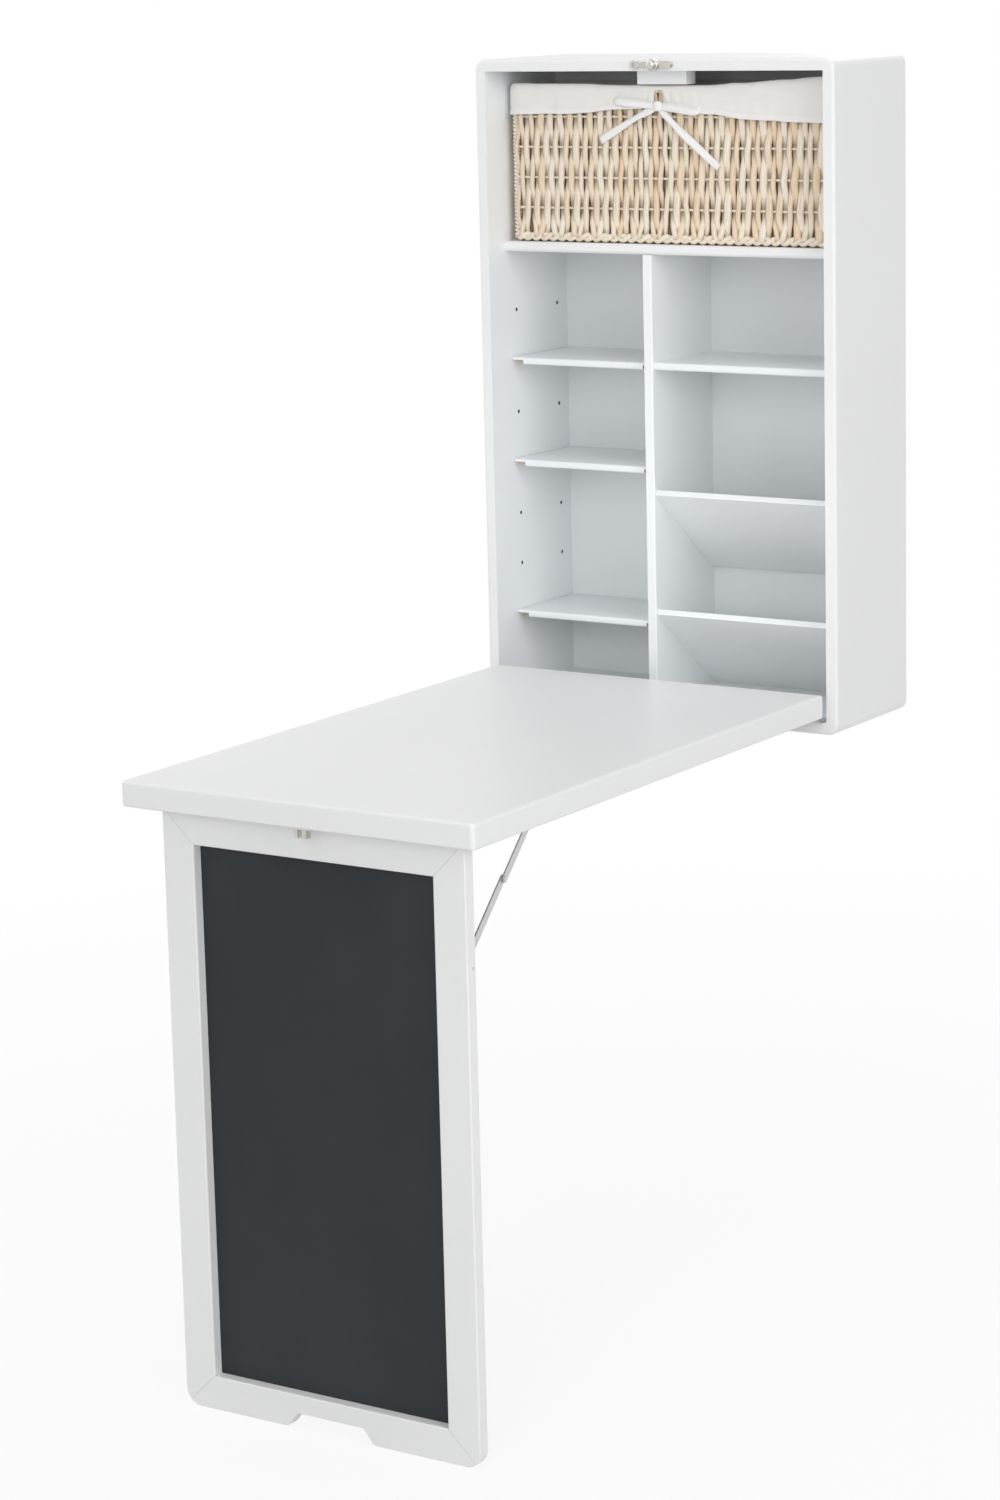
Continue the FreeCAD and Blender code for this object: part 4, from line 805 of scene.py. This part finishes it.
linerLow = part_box("basket_liner")[0]
linerLook = {
    "columns": 420, "bagSteps": 9, "rimSteps": 9, "skirtSteps": 18, "uvColumn": 60, "merge": 0.00002,
    "thick": 0.0007, "wall": 0.0092, "stand": 0.0012, "leastCorner": 0.003, "footLift": 0.0006,
    "rimDrop": 0.003,
    "footCurve": [(0.014, 0.0), (0.004, 0.0015), (0.001, 0.005)],  # inset and height at the bag's foot
    "rim": {  # places along the front with heights in millimetres; amount, rate and offsets of the ripple
        "line": [
            (-0.236, 4.4), (-0.14, 4.0), (-0.06, 1.9), (-0.009, 1.7), (0.053, 1.7), (0.105, 4.6),
            (0.17, 8.8), (0.216, 12.2), (0.236, 12.4),
        ],
        "back": 3.4, "ripple": (0.0005, 60, 3.0, 7.0),
    },
    "edge": {
        "line": [
            (-0.236, -20), (-0.14, -18.7), (-0.067, -13.7), (-0.02, -11.5), (0.005, -12.5), (0.061, -19),
            (0.126, -26), (0.217, -29.4), (0.236, -30),
        ],
        "back": -26, "ripple": (0.0012, 30, 9.0, 1.0),
    },
    "hem": 0.2, "hemStep": 0.0007,
    "wave": 0.002, "sideWave": 0.0008, "flare": 0.6, "fullness": 0.6, "frontPower": 4, "leastOut": -0.0004,
    "folds": [(1.0, 52, 0.7, 2.0), (0.5, 125, 1.4, 5.0)],  # amount, rate round, rate down, offset
    "gather": 0.0016, "gatherReach": 0.05, "gatherEnd": 1.1,
    "crimp": (150, 1.2, 11.0), "pleat": (0.4, 430, 4),
    "slitPlace": -0.0092, "slitHalf": 0.0064, "slitPower": 0.25, "slitGap": 0.0006, "slitReach": 0.03,
    "slitFront": 0.9, "knotDown": 0.8,
}


def readLine(line, place):  # a height along the front, read from a few measured points
    if place <= line[0][0]:
        return line[0][1]
    for (x0, h0), (x1, h1) in zip(line, line[1:]):
        if place <= x1:
            t = (place - x0) / (x1 - x0)
            return h0 + (h1 - h0) * t * t * (3 - 2 * t)
    return line[-1][1]


def wallPoint(share, grow):  # a point and its outward way on the basket's outline, from the slit
    half = Vector((basketSize.x / 2 + grow, basketSize.y / 2 + grow))
    radius = max(wallSizes["corner"] + grow, linerLook["leastCorner"])
    flat = Vector((half.x - radius, half.y - radius))
    arc = radius * math.pi / 2
    slit = linerLook["slitPlace"] - basketMiddle.x
    runs = [flat.x - slit, arc, 2 * flat.y, arc, 2 * flat.x, arc, 2 * flat.y, arc, flat.x + slit]
    travel = share * sum(runs)
    index = 0
    while index < 8 and travel > runs[index]:
        travel -= runs[index]
        index += 1
    quarter = index // 2 % 4
    way = Vector(((0, -1), (1, 0), (0, 1), (-1, 0))[quarter])
    along = Vector((-way.y, way.x))
    if index % 2:  # round a corner
        turn = travel / radius
        out = way * math.cos(turn) + along * math.sin(turn)
        return flat * (way + along) + out * radius, out
    start = slit if index == 0 else -flat[quarter % 2]
    return half * way + along * (start + travel), way


def linerRows():  # (grow, kind, share) from the bag's foot, over the rim, to the hem
    look = linerLook
    inner = -look["wall"]
    rows = [(inner - inset, "foot", lift) for inset, lift in look["footCurve"]]
    rows += [(inner, "bag", step / look["bagSteps"]) for step in range(1, look["bagSteps"])]
    middle = (inner + look["stand"]) / 2
    reach = (look["stand"] - inner) / 2
    for step in range(look["rimSteps"] + 1):
        angle = math.pi * step / look["rimSteps"]
        rows.append((middle - reach * math.cos(angle), "rim", math.sin(angle)))
    steps = look["skirtSteps"]
    return rows + [(look["stand"], "skirt", step / steps) for step in range(1, steps + 1)]


def slitHalf(down):  # the slit opens below the rim, closes at the knot, and opens again at the hem
    look = linerLook
    knot = look["knotDown"]
    if down < knot:
        opened = math.sin(math.pi * down / knot) ** look["slitPower"]
        return look["slitHalf"] * opened + look["slitGap"] * (down > 0)
    return look["slitGap"] + look["slitHalf"] * (down - knot) / (1 - knot)


def edgeHeight(edge, place, inwards, around):  # a wavy edge, level along the back
    height = (readLine(edge["line"], place) * (1 - inwards) + edge["back"] * inwards) / 1000
    amount, rate, second, third = edge["ripple"]
    return height + amount * noise.noise(Vector((around * rate, second, third)))


def skirtOut(share, around, place, front):  # how far the skirt stands off the basket
    look = linerLook
    ripple = 0.0
    for amount, rate, down, offset in look["folds"]:
        ripple += amount * noise.noise(Vector((around * rate, share * down, offset)))
    wave = look["sideWave"] + (look["wave"] - look["sideWave"]) * front
    out = wave * share ** look["flare"] * (ripple + look["fullness"])
    away = place - look["slitPlace"]
    pinch = front * math.exp(-(away / look["gatherReach"]) ** 2)
    rate, down, offset = look["crimp"]
    amount, turns, drop = look["pleat"]
    crimp = noise.noise(Vector((place * rate, share * down, offset)))
    crimp += amount * math.sin(abs(away) * turns - drop * share)
    out += look["gather"] * pinch * crimp * math.sin(math.pi * min(1.0, share * look["gatherEnd"]))
    if share > 1 - look["hem"]:
        out += look["hemStep"]
    return max(out, look["leastOut"])


def linerSpot(kind, share, grow, around):  # one point of the cloth
    look = linerLook
    point, way = wallPoint(around, grow)
    place = point.x + basketMiddle.x
    depth = point.y + basketMiddle.y
    inwards = min(1.0, max(0.0, (point.y + basketSize.y / 2) / basketSize.y))
    foot = linerLow.z + look["footLift"]
    rim = basketHigh.z - look["rimDrop"]
    if kind == "foot":
        return Vector((place, depth, foot + share))
    if kind == "bag":
        start = look["footCurve"][-1][1]
        return Vector((place, depth, foot + start + (rim - foot - start) * share))
    if kind == "rim":
        rise = edgeHeight(look["rim"], place, inwards, around)
        return Vector((place, depth, rim + (look["rimDrop"] + rise) * share))
    hem = edgeHeight(look["edge"], place, inwards, around)
    front = max(0.0, -way.y) ** look["frontPower"]
    out = skirtOut(share, around, place, front)
    away = abs(place - look["slitPlace"])
    shift = 0.0
    if front > look["slitFront"] and away < look["slitReach"]:
        side = 1 if around < 0.5 else -1
        shift = side * slitHalf(share) * max(0.0, 1 - away / look["slitReach"]) ** 2
    return Vector((place + way.x * out + shift, depth + way.y * out, rim + (hem - rim) * share))


def linerSurface():
    look = linerLook
    columns = look["columns"]
    form = bmesh.new()
    uvLayer = form.loops.layers.uv.new("clothUv")
    hemLayer = form.verts.layers.float.new("hem")
    length = 2 * (basketSize.x + basketSize.y)
    rings = []
    travel = 0.0
    last = None
    for grow, kind, share in linerRows():
        line = []
        for column in range(columns + 1):
            vert = form.verts.new(linerSpot(kind, share, grow, column / columns))
            vert[hemLayer] = 1.0 if kind == "skirt" and share > 1 - look["hem"] else 0.0
            line.append(vert)
        spot = line[look["uvColumn"]].co
        if last is not None:
            travel += (spot - last).length
        last = spot
        rings.append([(vert, (column / columns * length, travel)) for column, vert in enumerate(line)])
    skinRings(form, rings, uvLayer)
    base = form.faces.new([vert for vert, uv in rings[0][:columns]])
    for loop in base.loops:
        loop[uvLayer].uv = (loop.vert.co.x, loop.vert.co.y)
    bmesh.ops.remove_doubles(form, verts=form.verts, dist=look["merge"])
    bmesh.ops.recalc_face_normals(form, faces=form.faces)
    return finishMesh(form, "basketLiner", cotton)


linerMesh = linerSurface()
liner = addPiece("basketLiner", linerMesh, "cabinet", "basket_liner")
shell = liner.modifiers.new("thickness", "SOLIDIFY")
shell.thickness = linerLook["thick"]
shell.offset = 0.0
print("liner:", len(linerMesh.polygons), "faces")


# ribbon: two short loops and two tails from a small knot

bowLook = {
    "width": 0.01, "thick": 0.0005, "knot": (-0.0094, -0.009), "front": -0.1508,
    "steps": 28, "across": 4, "look": 0.02, "tied": 0.55, "untied": 0.45, "untie": 5,
    "even": 0.88, "uneven": 0.12, "unevenRates": (9, 20), "cup": 0.0007, "flatten": 0.6,
    "strips": {  # sideways, up and out from the knot, with a twist
        "leftTail": ([
            (-0.003, -0.002, 0), (-0.022, -0.01, 0.0012), (-0.046, -0.022, 0.0016), (-0.084, -0.043, 0.0006),
        ], 0.25),
        "rightTail": ([
            (0.002, -0.004, 0), (0.016, -0.016, 0.0014), (0.036, -0.034, 0.0016), (0.085, -0.075, 0.0006),
        ], -0.35),
        "leftLoop": ([
            (-0.003, 0.001, 0), (-0.024, 0.004, 0.0012), (-0.055, 0.008, 0.0008), (-0.06, 0.0065, 0.0022),
            (-0.052, 0.004, 0.0034), (-0.024, 0.0015, 0.003), (-0.003, 0.0, 0.0012),
        ], 0.35),
        "rightLoop": ([
            (0.003, 0.001, 0), (0.024, 0.0, 0.0012), (0.052, -0.003, 0.0008), (0.057, -0.0055, 0.0022),
            (0.05, -0.0075, 0.0034), (0.024, -0.003, 0.003), (0.003, -0.001, 0.0012),
        ], -0.35),
    },
}
knotLook = {
    "rows": 10, "around": 18, "half": 0.0062, "deep": 0.0021, "tall": 0.0125, "lean": 0.0012, "out": 0.0022,
    "folds": [(0.12, 3, 5), (0.08, 7, 0)], "swellPower": 4, "end": 0.35,  # each fold: depth, count, slant
}


def curvePoint(points, share):  # smooth path through the strip's points
    spot = share * (len(points) - 1)
    index = min(int(spot), len(points) - 2)
    t = spot - index
    a = Vector(points[max(index - 1, 0)])
    b = Vector(points[index])
    c = Vector(points[index + 1])
    d = Vector(points[min(index + 2, len(points) - 1)])
    bend = (2 * a - 5 * b + 4 * c - d) * t * t
    return 0.5 * (2 * b + (c - a) * t + bend + (3 * b - a - 3 * c + d) * t ** 3)


def ribbonStrip(form, uvLayer, points, twist):
    look = bowLook
    across = look["across"]
    shareRate, twistRate = look["unevenRates"]
    rings = []
    length = 0.0
    last = None
    for step in range(look["steps"] + 1):
        share = step / look["steps"]
        middle = curvePoint(points, share)
        after = curvePoint(points, min(1.0, share + look["look"]))
        ahead = after - curvePoint(points, max(0.0, share - look["look"]))
        ahead.normalize()
        side = Vector((-ahead.y, ahead.x, 0)).normalized()
        lean = twist * math.sin(math.pi * share)
        if last is not None:
            length += (middle - last).length
        last = middle
        pinch = look["tied"] + look["untied"] * min(1.0, share * look["untie"])
        pinch *= look["even"] + look["uneven"] * math.cos(shareRate * share + twistRate * twist)
        ring = []
        for order in range(across + 1):
            place = order / across - 0.5
            offset = place * look["width"] * pinch
            cup = look["cup"] * math.cos(math.pi * place) * (1 - look["flatten"] * share)
            flat = middle + side * offset * math.cos(lean)
            rise = flat.z + offset * math.sin(lean) + cup
            vert = form.verts.new((flat.x, look["front"] - max(rise, 0.0), flat.y))
            ring.append((vert, (length, offset)))
        rings.append(ring)
    skinRings(form, rings, uvLayer)
    return length


def ribbonKnot(form, uvLayer):  # the tie's wrap: a soft pinched band, fuller at the front
    look = knotLook
    rows = look["rows"]
    around = look["around"]
    rings = []
    for row in range(rows + 1):
        lift = row / rows - 0.5
        swell = look["end"] if row in (0, rows) else (1 - (2 * lift) ** look["swellPower"]) ** 0.5
        ring = []
        for column in range(around):
            angle = 2 * math.pi * column / around
            fold = 1
            for depth, count, slant in look["folds"]:
                fold += depth * math.cos(count * angle + slant * lift)
            vert = form.verts.new((
                look["half"] * swell * fold * math.cos(angle) + look["lean"] * lift,
                bowLook["front"] - look["out"] + look["deep"] * swell * fold * math.sin(angle),
                look["tall"] * lift,
            ))
            ring.append((vert, (vert.co.z, vert.co.x)))
        rings.append(ring)
    skinRings(form, [[*ring, ring[0]] for ring in rings], uvLayer)
    form.faces.new([vert for vert, uv in reversed(rings[0])])
    form.faces.new([vert for vert, uv in rings[rows]])


def ribbonMesh():
    form = bmesh.new()
    uvLayer = form.loops.layers.uv.new("clothUv")
    total = 0.0
    for points, twist in bowLook["strips"].values():
        total += ribbonStrip(form, uvLayer, points, twist)
    bmesh.ops.recalc_face_normals(form, faces=form.faces)
    bmesh.ops.solidify(form, geom=form.faces[:], thickness=bowLook["thick"])
    ribbonKnot(form, uvLayer)
    bmesh.ops.recalc_face_normals(form, faces=form.faces)
    mesh = finishMesh(form, "ribbonBow", ribbonCloth)
    knotX, knotHeight = bowLook["knot"]
    mesh.transform(Matrix.Translation((knotX, 0, knotHeight)))
    return mesh, total


bowMesh, ribbonLength = ribbonMesh()
bow = addPiece("ribbonBow", bowMesh, "cabinet", "ribbon_bow")
print("ribbon: length", round(ribbonLength, 4))


# stage: floor, light and camera

stageLook = {
    "floor": (0.8, 0.8, 0.8), "rough": 0.9, "specular": 0.1, "size": 300.0, "gap": 0.0002,
    "middle": (0, -0.5, 0), "start": 0.6, "fade": 2.6, "near": 0.86,  # the floor fades into the white
}


def studioFloor():
    look = stageLook
    floor = Finish("studioFloor")
    floor.lay(colour=(*look["floor"], 1.0), roughness=look["rough"], specular=look["specular"])
    centre = floor.vectors("SUBTRACT", {0: floor.spot, 1: look["middle"]})
    away = floor.vectors("LENGTH", {0: centre}, "Value")
    share = floor.node("ShaderNodeMapRange", {
        "Value": away, "From Min": look["start"], "From Max": look["fade"], "To Min": look["near"],
    })
    glow = floor.node("ShaderNodeEmission", {"Color": (1, 1, 1, 1), "Strength": 1.0})
    lit = Val(floor, floor.shader.outputs[0])
    blend = floor.node("ShaderNodeMixShader", {"Fac": floor.seen() * share, 1: lit, 2: glow})
    floor.feed(floor.tree.nodes["Material Output"].inputs["Surface"], blend)
    return floor.material


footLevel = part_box("leg_bottom_rail")[0].z
floorMesh = bpy.data.meshes.new("floor")
reach = stageLook["size"]
floorCorners = [(-reach, -reach, 0), (reach, -reach, 0), (reach, reach, 0), (-reach, reach, 0)]
floorMesh.from_pydata(floorCorners, [], [(0, 1, 2, 3)])
floorMesh.materials.append(studioFloor())
floor = bpy.data.objects.new("floor", floorMesh)
scene.collection.objects.link(floor)
floor.location.z = footLevel - stageLook["gap"]

lightLook = {
    "sky": 0.43, "tint": (0.985, 0.995, 1.0),
    "lamps": {  # place, aim, size and power
        "key": ((1.9, -8.8, 1.9), (0.0, -0.4, -0.4), 4.8, 186.0),
        "fill": ((3.3, -1.9, 0.8), (0.0, -0.2, -0.4), 2.6, 56.0),
        "top": ((0.0, -0.9, 3.2), (0.0, -0.6, -0.7), 3.2, 30.0),
        "side": ((-3.4, -0.9, 0.9), (0.0, -0.2, -0.4), 2.6, 32.0),
        "back": ((-0.8, 4.4, 1.6), (0.0, 0.0, -0.4), 2.6, 44.0),
        "bounce": ((0.0, -0.5, -0.56), (0.0, -0.1, -0.2), 0.26, 0.22),
    },
}


def studioWorld():  # white where it is seen, dimmer as a light
    world = bpy.data.worlds.new("studio")
    scene.world = world
    world.use_nodes = True
    board = Board(world.node_tree)
    seen = board.seen()
    backdrop = world.node_tree.nodes["Background"]
    board.feed(backdrop.inputs["Color"], board.mix(seen, lightLook["tint"], (1, 1, 1)))
    board.feed(backdrop.inputs["Strength"], seen * (1.0 - lightLook["sky"]) + lightLook["sky"])


def softLamp(name, place, aim, size, power):
    lamp = bpy.data.lights.new(name, "AREA")
    lamp.shape = "DISK"
    lamp.size = size
    lamp.energy = power
    holder = bpy.data.objects.new(name, lamp)
    scene.collection.objects.link(holder)
    holder.location = place
    holder.visible_camera = False
    holder.rotation_euler = (Vector(aim) - Vector(place)).to_track_quat("-Z", "Y").to_euler()


studioWorld()
for lampName, lampSizes in lightLook["lamps"].items():
    softLamp(lampName, *lampSizes)

cameraLook = {
    "place": (2.3936, -4.2359, 0.182), "yaw": 33.063, "pitch": 11.923, "roll": -1.385,
    "focal": 3778.7, "tall": 1500, "sensor": 36, "reach": 500,  # focal length and height in pixels
}


def photoCamera():
    look = cameraLook
    yaw, pitch, roll = [math.radians(look[key]) for key in ("yaw", "pitch", "roll")]
    ahead = Vector((-math.sin(yaw) * math.cos(pitch), math.cos(yaw) * math.cos(pitch), -math.sin(pitch)))
    right = Vector((math.cos(yaw), math.sin(yaw), 0))
    up = right.cross(ahead)
    level = right * math.cos(roll) + up * math.sin(roll)
    above = up * math.cos(roll) - right * math.sin(roll)
    lens = bpy.data.cameras.new("photoCamera")
    lens.sensor_width = look["sensor"]
    lens.lens = look["focal"] / look["tall"] * lens.sensor_width
    lens.clip_end = look["reach"]
    camera = bpy.data.objects.new("photoCamera", lens)
    scene.collection.objects.link(camera)
    turn = Matrix((level, above, -ahead)).transposed()
    camera.matrix_world = Matrix.Translation(look["place"]) @ turn.to_4x4()
    scene.camera = camera


photoCamera()
scene.view_settings.view_transform = "Standard"
print("stage: floor at", round(footLevel, 4))
